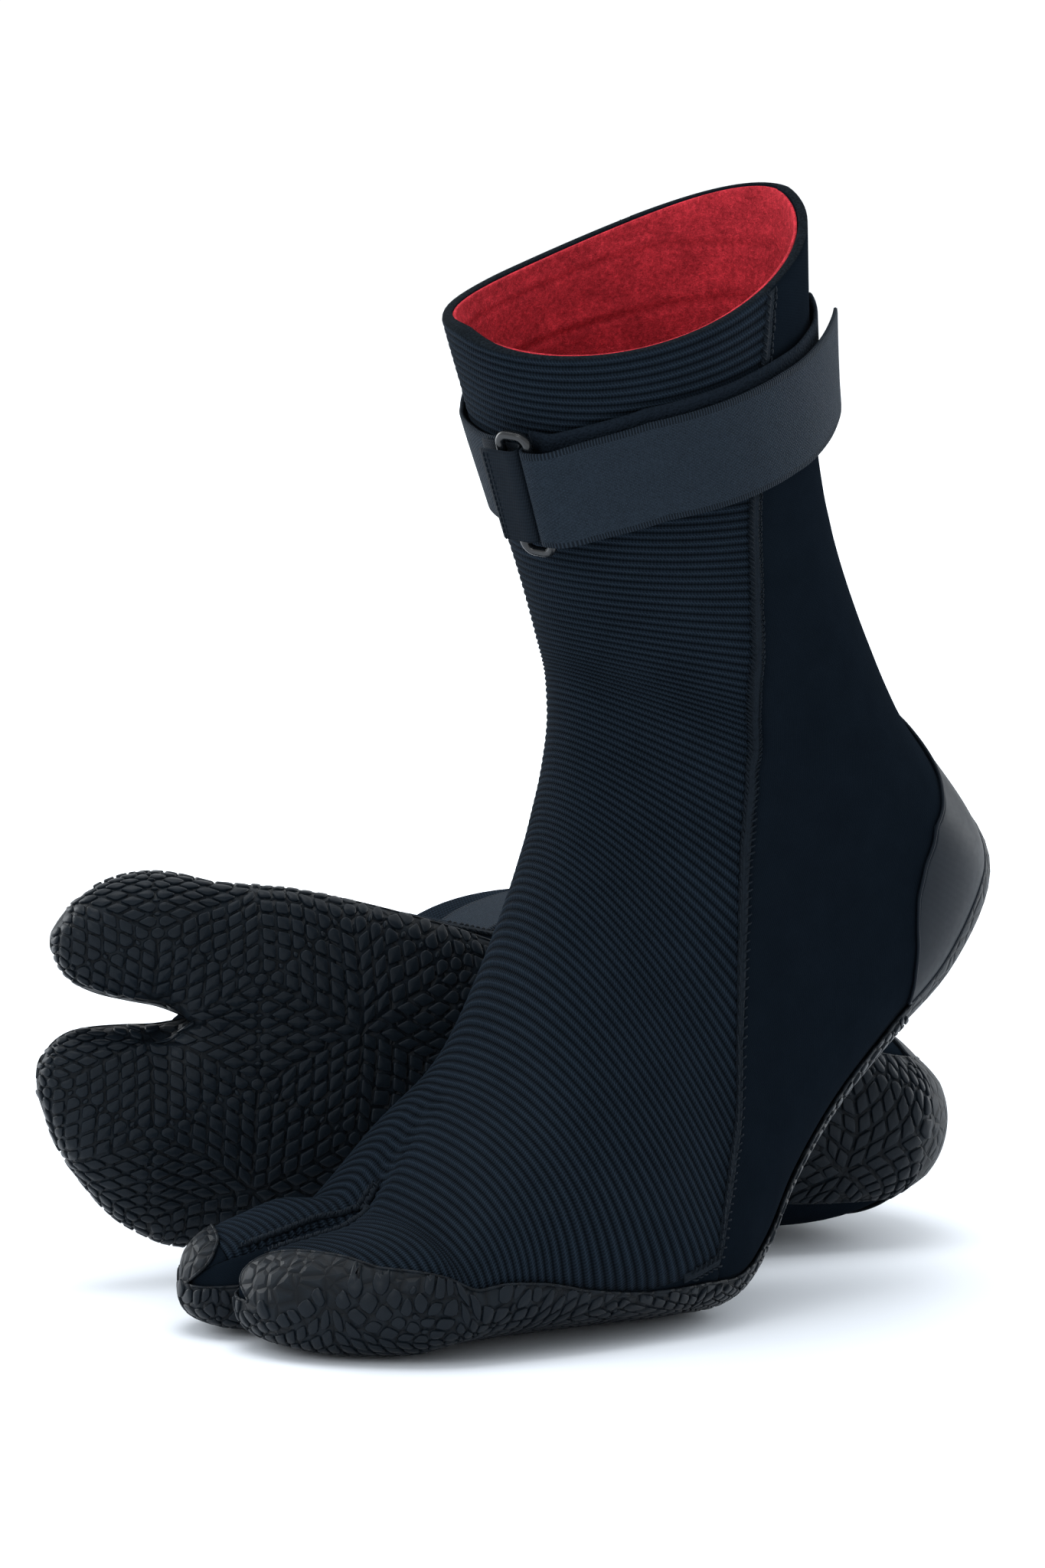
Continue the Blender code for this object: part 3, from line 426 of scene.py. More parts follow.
def shell(p, n, uv, tris, low, high, inset=.15, wall=1, bulge=0.0):
    """The closed plate from offset low to offset high over an open surface."""
    count = len(p)
    edges = border_of(tris, count)
    e = p[edges[:, 1]] - p[edges[:, 0]]
    pull = np.zeros_like(p)
    for k in range(2):
        inward = np.cross(n[edges[:, k]], e)
        inward /= np.maximum(np.linalg.norm(inward, axis=1), 1e-12)[:, None]
        for axis in range(3):
            pull[:, axis] += np.bincount(edges[:, k], inward[:, axis], minlength=count)
    length = np.linalg.norm(pull, axis=1)
    on = length > 1e-6
    pull[on] /= (length[on] ** 2 / 2)[:, None].clip(.6)
    pull[~on] = 0
    p = p + pull * inset
    low, high = np.broadcast_to(low, count)[:, None], np.broadcast_to(high, count)[:, None]
    layers, new = [p + n * high], [np.arange(count)]
    rim = np.unique(edges)
    where = np.full(count, -1)
    where[rim] = np.arange(len(rim))
    rings = []
    total = count
    for k in range(1, wall):
        f = k / wall
        rings.append(where + total)
        layers.append((p + n * (high + (low - high) * f) - pull * bulge * sin(pi * f))[rim])
        total += len(rim)
    layers.append(p + n * low)
    faces = [tris, tris[:, ::-1] + total]
    chain = [np.arange(count)] + rings + [np.arange(count) + total]
    for one, two in zip(chain, chain[1:]):
        a, b = edges[:, 0], edges[:, 1]
        faces += [np.stack([one[b], one[a], two[b]], 1), np.stack([one[a], two[a], two[b]], 1)]
    uvs = [uv] + [uv[rim]] * (wall - 1) + [uv]
    return np.concatenate(layers), np.concatenate(faces), np.concatenate(uvs)


def strip(grids, uvs, caps=True):
    """A closed band from rings: grids is n x k x 3, each row one closed ring."""
    n, k = grids.shape[:2]
    ids = np.arange(n * k).reshape(n, k)
    nxt = np.roll(ids, -1, axis=1)
    quads = np.stack([ids[:-1], nxt[:-1], nxt[1:], ids[1:]], -1).reshape(-1, 4)
    tris = np.concatenate([quads[:, [0, 1, 2]], quads[:, [0, 2, 3]]])
    p, uv = grids.reshape(-1, 3), uvs.reshape(-1, 2)
    if caps:
        for ring, order in ((ids[0], -1), (ids[-1], 1)):
            centre = len(p)
            p = np.vstack([p, p[ring].mean(0)])
            uv = np.vstack([uv, uv[ring].mean(0)])
            cap = np.stack([ring, np.roll(ring, -1), np.full(k, centre)], 1)
            tris = np.concatenate([tris, cap[:, ::order]])
    return p, tris, uv


def tubes(lines, radii, sides=6, normals=None):
    """Closed tubes along many lines of equal length: lines m x n x 3, radii m x n. normals makes them oval: it is m x n x 3."""
    m, n = lines.shape[:2]
    t = np.gradient(lines, axis=1)
    t /= np.maximum(np.linalg.norm(t, axis=2), 1e-9)[..., None]
    up = np.broadcast_to(np.array([0.31, 0.17, 0.93]), t.shape) if normals is None else normals
    side = np.cross(t, up)
    side /= np.maximum(np.linalg.norm(side, axis=2), 1e-9)[..., None]
    up = np.cross(side, t)
    a = np.linspace(0, 2 * pi, sides + 1)[:-1]
    rings = lines[:, :, None] + radii[:, :, None, None] * (side[:, :, None] * np.cos(a)[:, None] + up[:, :, None] * np.sin(a)[:, None])
    ids = np.arange(m * n * sides).reshape(m, n, sides)
    nxt = np.roll(ids, -1, axis=2)
    quads = np.stack([ids[:, :-1], nxt[:, :-1], nxt[:, 1:], ids[:, 1:]], -1).reshape(-1, 4)
    tris = [quads[:, [0, 1, 2]], quads[:, [0, 2, 3]]]
    for ring, flip in ((ids[:, 0], True), (ids[:, -1], False)):
        fan = np.stack([np.repeat(ring[:, :1], sides - 2, 1), ring[:, 1:-1], ring[:, 2:]], -1).reshape(-1, 3)
        tris.append(fan[:, ::-1] if flip else fan)
    return rings.reshape(-1, 3), np.concatenate(tris)


def volume(p, tris):
    return np.einsum("ij,ij->", p[tris[:, 0]], np.cross(p[tris[:, 1]], p[tris[:, 2]])) / 6


def join(parts):
    """One mesh from (points, tris[, uv]) parts."""
    points, faces, uvs, count = [], [], [], 0
    for part in parts:
        p, tris = part[0], part[1]
        uv = part[2] if len(part) > 2 else np.zeros((len(p), 2))
        points.append(p)
        faces.append(tris + count)
        uvs.append(uv)
        count += len(p)
    return np.concatenate(points), np.concatenate(faces), np.concatenate(uvs)


COLLECTION = bpy.data.collections.new("boots_looks")
bpy.context.scene.collection.children.link(COLLECTION)


def piece(name, parts, placed, mats, body, nodes=(), ground=False, flat=False, slots=None,
          keep=False):
    """One object from closed parts in a boot's own frame; slots gives each part's material."""
    turned = []
    for part in parts:
        p = placed(part[0])
        if ground:
            p[:, 2] = np.maximum(p[:, 2], 0.0)
        tris = part[1]
        if not keep and volume(p - p.mean(0), tris) < 0:
            tris = tris[:, ::-1]
        turned.append((p, tris) + tuple(part[2:]))
    index = np.concatenate([np.broadcast_to(0 if slots is None else slots[i], len(t[1])) for i, t in enumerate(turned)])
    p, tris, uv = join(turned)
    mesh = bpy.data.meshes.new(name)
    mesh.vertices.add(len(p))
    mesh.vertices.foreach_set("co", (p / 1000).astype(np.float32).ravel())
    mesh.loops.add(len(tris) * 3)
    mesh.loops.foreach_set("vertex_index", tris.astype(np.int32).ravel())
    mesh.polygons.add(len(tris))
    mesh.polygons.foreach_set("loop_start", np.arange(0, len(tris) * 3, 3, dtype=np.int32))
    mesh.polygons.foreach_set("loop_total", np.full(len(tris), 3, np.int32))
    mesh.polygons.foreach_set("use_smooth", np.full(len(tris), not flat))
    layer = mesh.uv_layers.new(name="mm")
    layer.data.foreach_set("uv", uv[tris.ravel()].astype(np.float32).ravel())
    for m in (mats if isinstance(mats, (list, tuple)) else [mats]):
        mesh.materials.append(m)
    mesh.polygons.foreach_set("material_index", index.astype(np.int32))
    mesh.update()
    mesh.validate()
    obj = bpy.data.objects.new(name, mesh)
    COLLECTION.objects.link(obj)
    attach(obj, body)
    if nodes:
        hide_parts(*nodes)
    return obj


# ---- materials --------------------------------------------------------------
class Finish:
    """A material built from maths on the mesh's own millimetre coordinates."""

    def __init__(self, name, colour, rough, specular=.4):
        self.m = bpy.data.materials.new(name)
        self.m.use_nodes = True
        self.t = self.m.node_tree
        self.b = self.t.nodes["Principled BSDF"]
        self.b.inputs["Base Color"].default_value = (*colour, 1)
        self.b.inputs["Roughness"].default_value = rough
        self.b.inputs["Specular IOR Level"].default_value = specular
        self.colour = colour
        uv = self.t.nodes.new("ShaderNodeUVMap")
        uv.uv_map = "mm"
        split = self.t.nodes.new("ShaderNodeSeparateXYZ")
        self.t.links.new(uv.outputs[0], split.inputs[0])
        self.uv, self.u, self.v = uv.outputs[0], split.outputs[0], split.outputs[1]
        self.place = self.t.nodes.new("ShaderNodeTexCoord").outputs["Object"]

    def put(self, socket, value):
        if isinstance(value, bpy.types.NodeSocket):
            self.t.links.new(value, socket)
        else:
            socket.default_value = value

    def math(self, op, a, b=0.0, c=0.0):
        n = self.t.nodes.new("ShaderNodeMath")
        n.operation = op
        for k, value in enumerate((a, b, c)):
            self.put(n.inputs[k], value)
        return n.outputs[0]

    def noise(self, scale, detail=3.0, rough=.6, vector=None):
        n = self.t.nodes.new("ShaderNodeTexNoise")
        n.inputs["Scale"].default_value = scale
        n.inputs["Detail"].default_value = detail
        n.inputs["Roughness"].default_value = rough
        self.t.links.new(self.place if vector is None else vector, n.inputs["Vector"])
        return n.outputs[0]

    def cells(self, scale, feature="F1", vector=None):
        n = self.t.nodes.new("ShaderNodeTexVoronoi")
        n.feature = feature
        n.inputs["Scale"].default_value = scale
        self.t.links.new(self.place if vector is None else vector, n.inputs["Vector"])
        return n.outputs[0]

    def wave(self, x, pitch, phase=0.0):
        """A cosine from 0 to 1 over a coordinate in mm."""
        a = self.math("MULTIPLY_ADD", x, 2 * pi / pitch, phase)
        return self.math("MULTIPLY_ADD", self.math("COSINE", a), .5, .5)

    def bump(self, height, distance, strength=1.0):
        n = self.t.nodes.new("ShaderNodeBump")
        n.inputs["Distance"].default_value = distance / 1000
        n.inputs["Strength"].default_value = strength
        self.t.links.new(height, n.inputs["Height"])
        self.t.links.new(n.outputs[0], self.b.inputs["Normal"])

    def tint(self, factor, low, high):
        """Base colour from low to high times the finish's own colour."""
        n = self.t.nodes.new("ShaderNodeMix")
        n.data_type = "RGBA"
        self.t.links.new(factor, n.inputs[0])
        n.inputs[6].default_value = tuple(c * low for c in self.colour) + (1,)
        n.inputs[7].default_value = tuple(c * high for c in self.colour) + (1,)
        self.t.links.new(n.outputs[2], self.b.inputs["Base Color"])

    def rough(self, factor, low, high):
        n = self.t.nodes.new("ShaderNodeMapRange")
        self.t.links.new(factor, n.inputs[0])
        n.inputs["To Min"].default_value = low
        n.inputs["To Max"].default_value = high
        self.t.links.new(n.outputs[0], self.b.inputs["Roughness"])

    def sheen(self, weight, rough=.4, tint=(1, 1, 1)):
        self.b.inputs["Sheen Weight"].default_value = weight
        self.b.inputs["Sheen Roughness"].default_value = rough
        self.b.inputs["Sheen Tint"].default_value = (*tint, 1)


def finishes():
    out = {}
    # ribbed knit: loops 0.9 mm wide, leaning one way and the other in alternate half ribs
    f = Finish("ribbed_neoprene_face", (.0052, .0084, .0127), .8, .015)
    lean = f.math("SINE", f.math("MULTIPLY", f.v, 2 * pi / RIB))
    loop = f.wave(f.math("MULTIPLY_ADD", lean, .22, f.u), .92)
    step = f.wave(f.v, RIB / 3)
    h = f.math("MULTIPLY_ADD", loop, .75, f.math("MULTIPLY", step, .35))
    h = f.math("MULTIPLY_ADD", f.noise(900, 2), .55, h)
    f.bump(h, .30, .95)
    # painted shade and light: the tint darkens the rib valleys and the low parts of the loops and lightens the crests;
    # the coarse noise adds random tone
    rib = f.wave(f.v, RIB)
    shade = f.math("MULTIPLY", f.math("MULTIPLY_ADD", h, .62, f.math("MULTIPLY", f.noise(70, 3), .3)),
                   f.math("MULTIPLY_ADD", rib, .85, .25))
    f.tint(shade, .12, 2.35)
    f.sheen(.012, .3, (.72, .84, 1))
    out["knit"] = f.m
    # cut edge of the neoprene: fine black foam
    f = Finish("neoprene_cut_edge", (.0045, .0064, .0086), .9, .02)
    h = f.cells(1500)
    f.bump(h, .2, .8)
    f.tint(h, .4, 1.8)
    out["foam"] = f.m
    # smooth jersey: very fine wales
    f = Finish("smooth_jersey_face", (.0034, .0054, .0082), .8, .0)
    wale = f.wave(f.math("ADD", f.u, f.math("MULTIPLY", f.noise(60, 2), .5)), .62)
    row = f.wave(f.math("MULTIPLY_ADD", f.u, .5, f.v), .7)
    h = f.math("MULTIPLY_ADD", wale, .6, f.math("MULTIPLY", row, .4))
    h = f.math("MULTIPLY_ADD", f.noise(1400, 2), .5, h)
    f.bump(h, .07, .8)
    f.tint(f.math("MULTIPLY_ADD", h, .4, f.math("MULTIPLY", f.noise(90, 3), .6)), .6, 1.4)
    f.sheen(.008, .3, (.75, .86, 1))
    out["jersey"] = f.m
    # red plush
    f = Finish("red_plush_pile", (.40, .026, .037), .92, .03)
    clump = f.noise(760, 4, .75)
    fine = f.noise(2400, 3, .75)
    h = f.math("MULTIPLY_ADD", fine, .55, f.math("MULTIPLY_ADD", f.noise(90, 2), .35, f.math("MULTIPLY", clump, .75)))
    f.bump(h, .8, .9)
    f.tint(f.math("SMOOTH_MIN", f.math("POWER", f.math("MULTIPLY", h, 1.0), 3.2), 1.0, .1), .22, 1.75)
    f.sheen(.05, .45, (1, .22, .24))
    out["plush"] = f.m
    # moulded rubber
    f = Finish("moulded_sole_rubber_face", (.0047, .0074, .0106), .46, .10)
    grain = f.noise(1500, 3, .7)
    f.bump(grain, .05, .7)
    f.tint(f.noise(120, 3), .75, 1.3)
    f.rough(f.noise(500, 3), .30, .48)
    out["rubber"] = f.m
    f = Finish("scaled_sole_rubber_face", (.0046, .0071, .0100), .48, .10)
    edge = f.cells(205, "DISTANCE_TO_EDGE")
    h = f.math("MINIMUM", f.math("MULTIPLY", edge, 4.2), 1.0)
    h = f.math("MULTIPLY_ADD", f.noise(2600, 2), .05, h)
    f.bump(h, .55, .9)
    f.tint(h, .5, 1.1)
    f.rough(f.noise(420, 3), .42, .6)
    out["scales"] = f.m
    f = Finish("smooth_heel_rubber_face", (.0052, .0080, .0118), .5, .06)
    line = f.wave(f.math("MULTIPLY_ADD", f.noise(80, 2), .9, f.v), 1.15)
    h = f.math("MULTIPLY_ADD", f.noise(1800, 2), .5, f.math("MULTIPLY", line, .35))
    f.bump(h, .03, .6)
    f.tint(f.noise(150, 3), .8, 1.22)
    f.rough(f.noise(420, 3), .36, .52)
    out["heel"] = f.m
    f = Finish("seam_thread_twist", (.0062, .0094, .0135), .66, .05)
    h = f.wave(f.math("ADD", f.u, f.v), .38)
    f.bump(f.math("MULTIPLY_ADD", f.noise(2200, 2), .6, h), .08, .8)
    f.tint(f.noise(700, 3), .6, 1.5)
    out["thread"] = f.m
    # webbing: fine ribs lengthwise, picks across
    f = Finish("nylon_webbing_face", (.0056, .0086, .0126), .62, .05)
    warp, weft = f.wave(f.v, 1.05), f.wave(f.math("MULTIPLY_ADD", f.v, .3, f.u), .62)
    h = f.math("MULTIPLY_ADD", warp, .7, f.math("MULTIPLY", weft, .4))
    f.bump(f.math("MULTIPLY_ADD", f.noise(1600, 2), .3, h), .14, .9)
    f.tint(f.math("MULTIPLY_ADD", h, .5, f.math("MULTIPLY", f.noise(300, 3), .4)), .6, 1.45)
    out["webbing"] = f.m
    # loop pile
    f = Finish("loop_tape_face", (.0046, .0070, .0104), .85, .02)
    h = f.math("ADD", f.cells(1300), f.math("MULTIPLY", f.noise(900, 3), .8))
    f.bump(h, .35, .9)
    f.tint(h, .5, 1.5)
    f.sheen(.02, .3, (.75, .86, 1))
    out["loop"] = f.m
    # the strap: nubbly between two ribbed selvedges
    f = Finish("strap_webbing_face", (.0112, .0166, .0236), .7, .04)
    side = f.math("ABSOLUTE", f.v)
    selvedge = f.math("GREATER_THAN", side, STRAP_HALF - 1.9)
    twill = f.wave(f.math("MULTIPLY_ADD", f.v, 1.0, f.u), .95)
    back = f.wave(f.math("MULTIPLY_ADD", f.v, -1.35, f.u), 1.25)
    nub = f.math("MULTIPLY_ADD", f.math("MULTIPLY", twill, back), .8, f.math("MULTIPLY", f.noise(1250, 3, .75), 1.1))
    ribs = f.math("MULTIPLY", f.wave(f.u, .72), .9)
    mixed = f.math("ADD", f.math("MULTIPLY", ribs, selvedge), f.math("MULTIPLY", nub, f.math("SUBTRACT", 1.0, selvedge)))
    f.bump(mixed, .40, 1.0)
    f.tint(f.math("MULTIPLY_ADD", mixed, .75, f.math("MULTIPLY", f.noise(160, 3), .2)), .18, 1.75)
    f.sheen(.015, .3, (.75, .86, 1))
    out["strap"] = f.m
    f = Finish("hook_tape_face", (.013, .0155, .019), .5, .4)
    h = f.math("MULTIPLY", f.wave(f.u, 1.1), f.wave(f.v, 1.1))
    f.bump(h, .5, .9)
    f.tint(h, .5, 1.6)
    out["hook"] = f.m
    f = Finish("ring_plastic_gloss", (.0040, .0052, .0066), .26, .42)
    f.rough(f.noise(260, 3), .19, .32)
    f.bump(f.noise(2200, 2), .012, .5)
    f.tint(f.noise(90, 2), .85, 1.2)
    out["ring"] = f.m
    f = Finish("red_fringe_fibre", (.26, .018, .024), .8, .2)
    f.tint(f.noise(600, 3), .4, 1.8)
    out["red_fibre"] = f.m
    f = Finish("dark_fuzz_fibre", (.020, .024, .030), .7, .3)
    f.tint(f.noise(600, 3), .5, 1.7)
    out["fuzz"] = f.m
    return out


# ---- one boot ---------------------------------------------------------------
def ramp(pairs):
    return lambda s: np.interp(s, *pairs)


SEAM_AT, SEAM_SHARE = np.array(SEAM[0]), np.array(SEAM[1])[:, None]
SEAM_SLOPE = slopes_of(SEAM_AT, SEAM_SHARE)


def line_a(s):
    s = np.asarray(s, float)
    curve = hermite(SEAM_AT, SEAM_SHARE, SEAM_SLOPE, s.ravel())[:, 0].reshape(s.shape)
    return np.where(s < 3.4, np.interp(s, *RAND_FORE), curve)


def line_c(s):
    """Where the outsole's upper edge runs behind the forefoot."""
    return np.interp(s, [3.4, 3.9, 4.7, 5.5, 6.6, 7.8, 9, 9.6, 9.9, 10.12, 10.28, 10.38, 10.42],
                     [.70, .735, .775, .81, .85, .875, .88, .882, .893, .915, .95, .98, 1.0])


def line_e(s):
    """The outsole's upper edge from the crotch to the heel."""
    return np.where(s < 3.4, np.interp(s, [0, .35, 1.4, 2.3, 2.9, 3.4], [.48, .495, .575, .635, .668, .70]), line_c(s))


def line_b(s):
    return np.interp(s, [8.3, 8.6, 9.0, 9.3, 9.7, 10.1, 10.4, 10.7, 10.85, 10.95],
                     [.868, .80, .74, .71, .70, .715, .79, .89, .945, 1.0])


class Skin(Boot):
    def __init__(self, *args):
        super().__init__(*args)
        rows = np.linspace(0, 16, 161)
        self.round = {side: np.linalg.norm(np.diff(self.fine[side], axis=1), axis=2).sum(1) for side in (1, -1)}
        mid = (self.fine[1][:, 30] + self.fine[-1][:, 30]) / 2
        d = (np.linalg.norm(np.diff(self.fine[1][:, 30], axis=0), axis=1) + np.linalg.norm(np.diff(self.fine[-1][:, 30], axis=0), axis=1)) / 2
        self.run_at = np.r_[0, np.cumsum(d)]
        self.rows = rows
        self.lobe_run, self.lobe_round = {}, {}
        self.t = np.linspace(0, 1, 46)
        for side in (1, -1):
            line = self.lobe(side, self.t, .2)
            self.lobe_run[side] = np.r_[0, np.cumsum(np.linalg.norm(np.diff(line, axis=0), axis=1))]
            g = self.lobe(side, self.t[:, None], np.linspace(0, 1, 61)[None])
            self.lobe_round[side] = np.linalg.norm(np.diff(g, axis=1), axis=2).sum(1)

    def along(self, s):
        return np.interp(s, self.rows, self.run_at)

    def stations(self, first, last, step, phase=0.0):
        """Stations whose distance apart along the boot is about step mm."""
        a, b = self.along(first), self.along(last)
        n = max(2, int(round((b - a) / step)) + 1)
        return np.interp(np.linspace(a, b, n), self.run_at, self.rows)

    def patch(self, sheet, side, s, low, high, cols, height=None):
        """Adds the skin between two lines round one side; height(u, v) is an offset in mm."""
        s = np.asarray(s, float)
        f = np.linspace(0, 1, cols + 1)[None]
        a, b = low(s)[:, None], high(s)[:, None]
        w = a + (b - a) * f
        u = w * np.interp(s, self.rows, self.round[side])[:, None] * side
        v = np.broadcast_to(self.along(s)[:, None], w.shape)
        h = None if height is None else height(u, v, np.broadcast_to(s[:, None], w.shape), w)
        sheet.grid(self.body(side, np.broadcast_to(s[:, None], w.shape), w), np.stack([u, v], -1), flip=side < 0, height=h)

    def lobe_patch(self, sheet, side, t, low, high, cols, height=None):
        t = np.asarray(t, float)
        f = np.linspace(0, 1, cols + 1)[None]
        a, b = low(t)[:, None], high(t)[:, None]
        w = a + (b - a) * f
        u = w * np.interp(t, self.t, self.lobe_round[side])[:, None] * side
        v = np.broadcast_to(-np.interp(t, self.t, self.lobe_run[side])[:, None], w.shape)
        h = None if height is None else height(u, v, np.broadcast_to(-t[:, None], w.shape), w)
        sheet.grid(self.lobe(side, np.broadcast_to(t[:, None], w.shape), w), np.stack([u, v], -1), flip=side > 0, height=h)

    def gusset_patch(self, sheet, t, g0, g1, cols):
        t = np.asarray(t, float)
        g = np.linspace(g0, g1, cols + 1)[None]
        t2 = np.broadcast_to(t[:, None], (len(t), cols + 1))
        p = self.gusset(t2, g)
        sheet.grid(p, np.stack(np.broadcast_arrays(g * 28.0, t2 * 48.0), -1), flip=True)


def constant(x):
    return lambda s: np.full(np.shape(s), float(x))


def oriented(p, tris):
    """Normals of an open sheet, with its faces as they are."""
    n = vertex_normals(p, tris)
    heel = np.argmax(p[:, 0])
    return n, tris


def covering(name, boot, sheet, low, high, mats, node, inset=.12, wall=1, bulge=0.0, ground=False, turn=None, extra=(), extra_slots=()):
    p, uv, h, tris = sheet.done()
    n = vertex_normals(p, tris)
    if turn is not None and turn < 0:
        n = -n
        tris = tris[:, ::-1]
    lo = low(p, uv, h) if callable(low) else low
    hi = high(p, uv, h) if callable(high) else high
    points, faces, uvs = shell(p, n, uv, tris, lo, hi, inset, wall, bulge)
    marks = np.zeros(len(faces), int)
    marks[2 * len(tris):] = 1
    parts = [(points, faces, uvs)] + list(extra)
    return piece(name, parts, boot.placed, mats, boot.body_name, nodes=[node], ground=ground,
                 slots=[marks] + list(extra_slots))


def band_parts(strap, path, half, thickness, across=13, step=.9, shift=0.0, clip=0.0, ripple_by=0.0):
    """A strip of webbing along a path of (x, height) points, with soft edges."""
    path = np.asarray(path, float)
    d = np.r_[0, np.cumsum(np.linalg.norm(np.diff(path, axis=0), axis=1))]
    at = np.linspace(0, d[-1], max(3, int(d[-1] / step)))
    # a smooth curve through the path's points
    slopes = slopes_of(d, path)
    path = hermite(d, path, slopes, at)
    tangent = np.gradient(path, axis=0)
    tangent /= np.linalg.norm(tangent, axis=1)[:, None]
    normal = np.stack([-tangent[:, 1], tangent[:, 0]], 1)
    half_at = np.full(len(at), float(half))
    if clip:
        half_at -= np.clip(clip - (at[-1] - at), 0, clip) * .9
    c = np.sin(np.linspace(-pi / 2, pi / 2, across))
    c = np.sign(c) * np.abs(c) ** .8
    thin = np.sqrt(np.clip(1 - np.clip((np.abs(c) * half - (half - .45)) / .45, 0, 1) ** 2, .0, 1)) * .92 + .08
    top, bottom = [], []
    wob = ripple(at / 9.0, np.zeros(len(at)), 5) * ripple_by
    for sign, out in ((1, top), (-1, bottom)):
        off = normal[:, None] * (thickness / 2 * thin)[None, :, None] * sign
        x = path[:, None, 0] + off[..., 0]
        h = path[:, None, 1] + off[..., 1] + wob[:, None] * np.abs(c)[None]
        v = half_at[:, None] * c[None] + shift
        out.append(strap.point(x, v, h))
    ring = np.concatenate([top[0], bottom[0][:, ::-1]], axis=1)
    uv = np.stack([np.broadcast_to(at[:, None], (len(at), 2 * across)),
                   np.broadcast_to(np.r_[c, c[::-1]] * half, (len(at), 2 * across))], -1)
    return strip(ring, uv)


class Strap:
    """The cuff strap's own coordinates: x along it in mm from the ring, v across it, and the height above the skin."""

    def __init__(self, boot):
        self.boot = boot
        self.w = np.linspace(-1, 1, 401)
        self.s = np.interp(np.abs(self.w), [0, .15, .36, .64, 1], [13.59, 13.65, 14.12, 14.33, 14.44])
        line, _ = boot.surface(self.s, self.w)
        run = np.r_[0, np.cumsum(np.linalg.norm(np.diff(line, axis=0), axis=1))]
        self.run = run - np.interp(.08, self.w, run)
        self.frame = None
        self.rest_on = GAP + .55 + GAP
        self.bar = self.rest_on + WEB + GAP + .9 + 2 * GAP + RING_WIRE
        n = boot.surface(np.interp(RING_BARS / 2, self.run, self.s), np.interp(RING_BARS / 2, self.run, self.w))[1]
        origin = self.point(RING_BARS / 2, 0, self.bar)
        x = self.point(RING_BARS, 0, self.bar) - self.point(0, 0, self.bar)
        x /= np.linalg.norm(x)
        v = self.point(RING_BARS / 2, 8, self.bar) - self.point(RING_BARS / 2, -8, self.bar)
        v -= x * np.dot(v, x)
        v /= np.linalg.norm(v)
        out = n - x * np.dot(n, x) - v * np.dot(n, v)
        out /= np.linalg.norm(out)
        self.frame = (origin, x, v, out)

    def point(self, x, v, height):
        x, v, height = np.broadcast_arrays(np.asarray(x, float), np.asarray(v, float), np.asarray(height, float))
        w, s = np.interp(x, self.run, self.w), np.interp(x, self.run, self.s)
        step = np.linalg.norm(self.boot.surface(np.minimum(s + .1, 16), w)[0] - self.boot.surface(s - .1, w)[0], axis=-1) / .2
        p, _ = self.boot.surface(s + v / step, w)
        n = self.boot.surface(s, w)[1]
        p = p + n * height[..., None]
        if self.frame is None:
            return p
        origin, fx, fv, out = self.frame
        b = smooth((np.abs(x - RING_BARS / 2) - 6.5) / 7)[..., None]
        flat = origin + fx * (x - RING_BARS / 2)[..., None] + fv * v[..., None] + out * (height - self.bar)[..., None]
        return p * b + flat * (1 - b)


def stitch_rows(boot, side, s0, s1, pitch, offset, length, lean, radius, base, line=line_a):
    """Short raised stitches along both sides of a seam."""
    n = int((boot.along(s1) - boot.along(s0)) / pitch)
    v = np.linspace(boot.along(s0), boot.along(s1), n)
    lines, radii = [], []
    for edge in (-1, 1):
        for k in range(n):
            s = np.interp(v[k], boot.run_at, boot.rows)
            per = np.interp(s, boot.rows, boot.round[side])
            wander = (hashed(k, edge + 5, side + 3) - .5)
            d = np.linspace(-length / 2, length / 2, 5)
            u = line(np.array([s]))[0] + (edge * offset + d * .8 * edge + wander * .25) / per
            sv = np.interp(v[k] + d * lean + wander * .3, boot.run_at, boot.rows)
            p, nn = boot.surface(sv, side * np.clip(u, 0, 1))
            arch = base + .42 * np.cos(np.linspace(-pi / 2, pi / 2, 5)) + .1 * wander
            lines.append(p + nn * arch[:, None])
            radii.append(radius * np.array([.55, .95, 1.05, .95, .55]) * (1 + .3 * wander))
    return np.array(lines), np.array(radii)


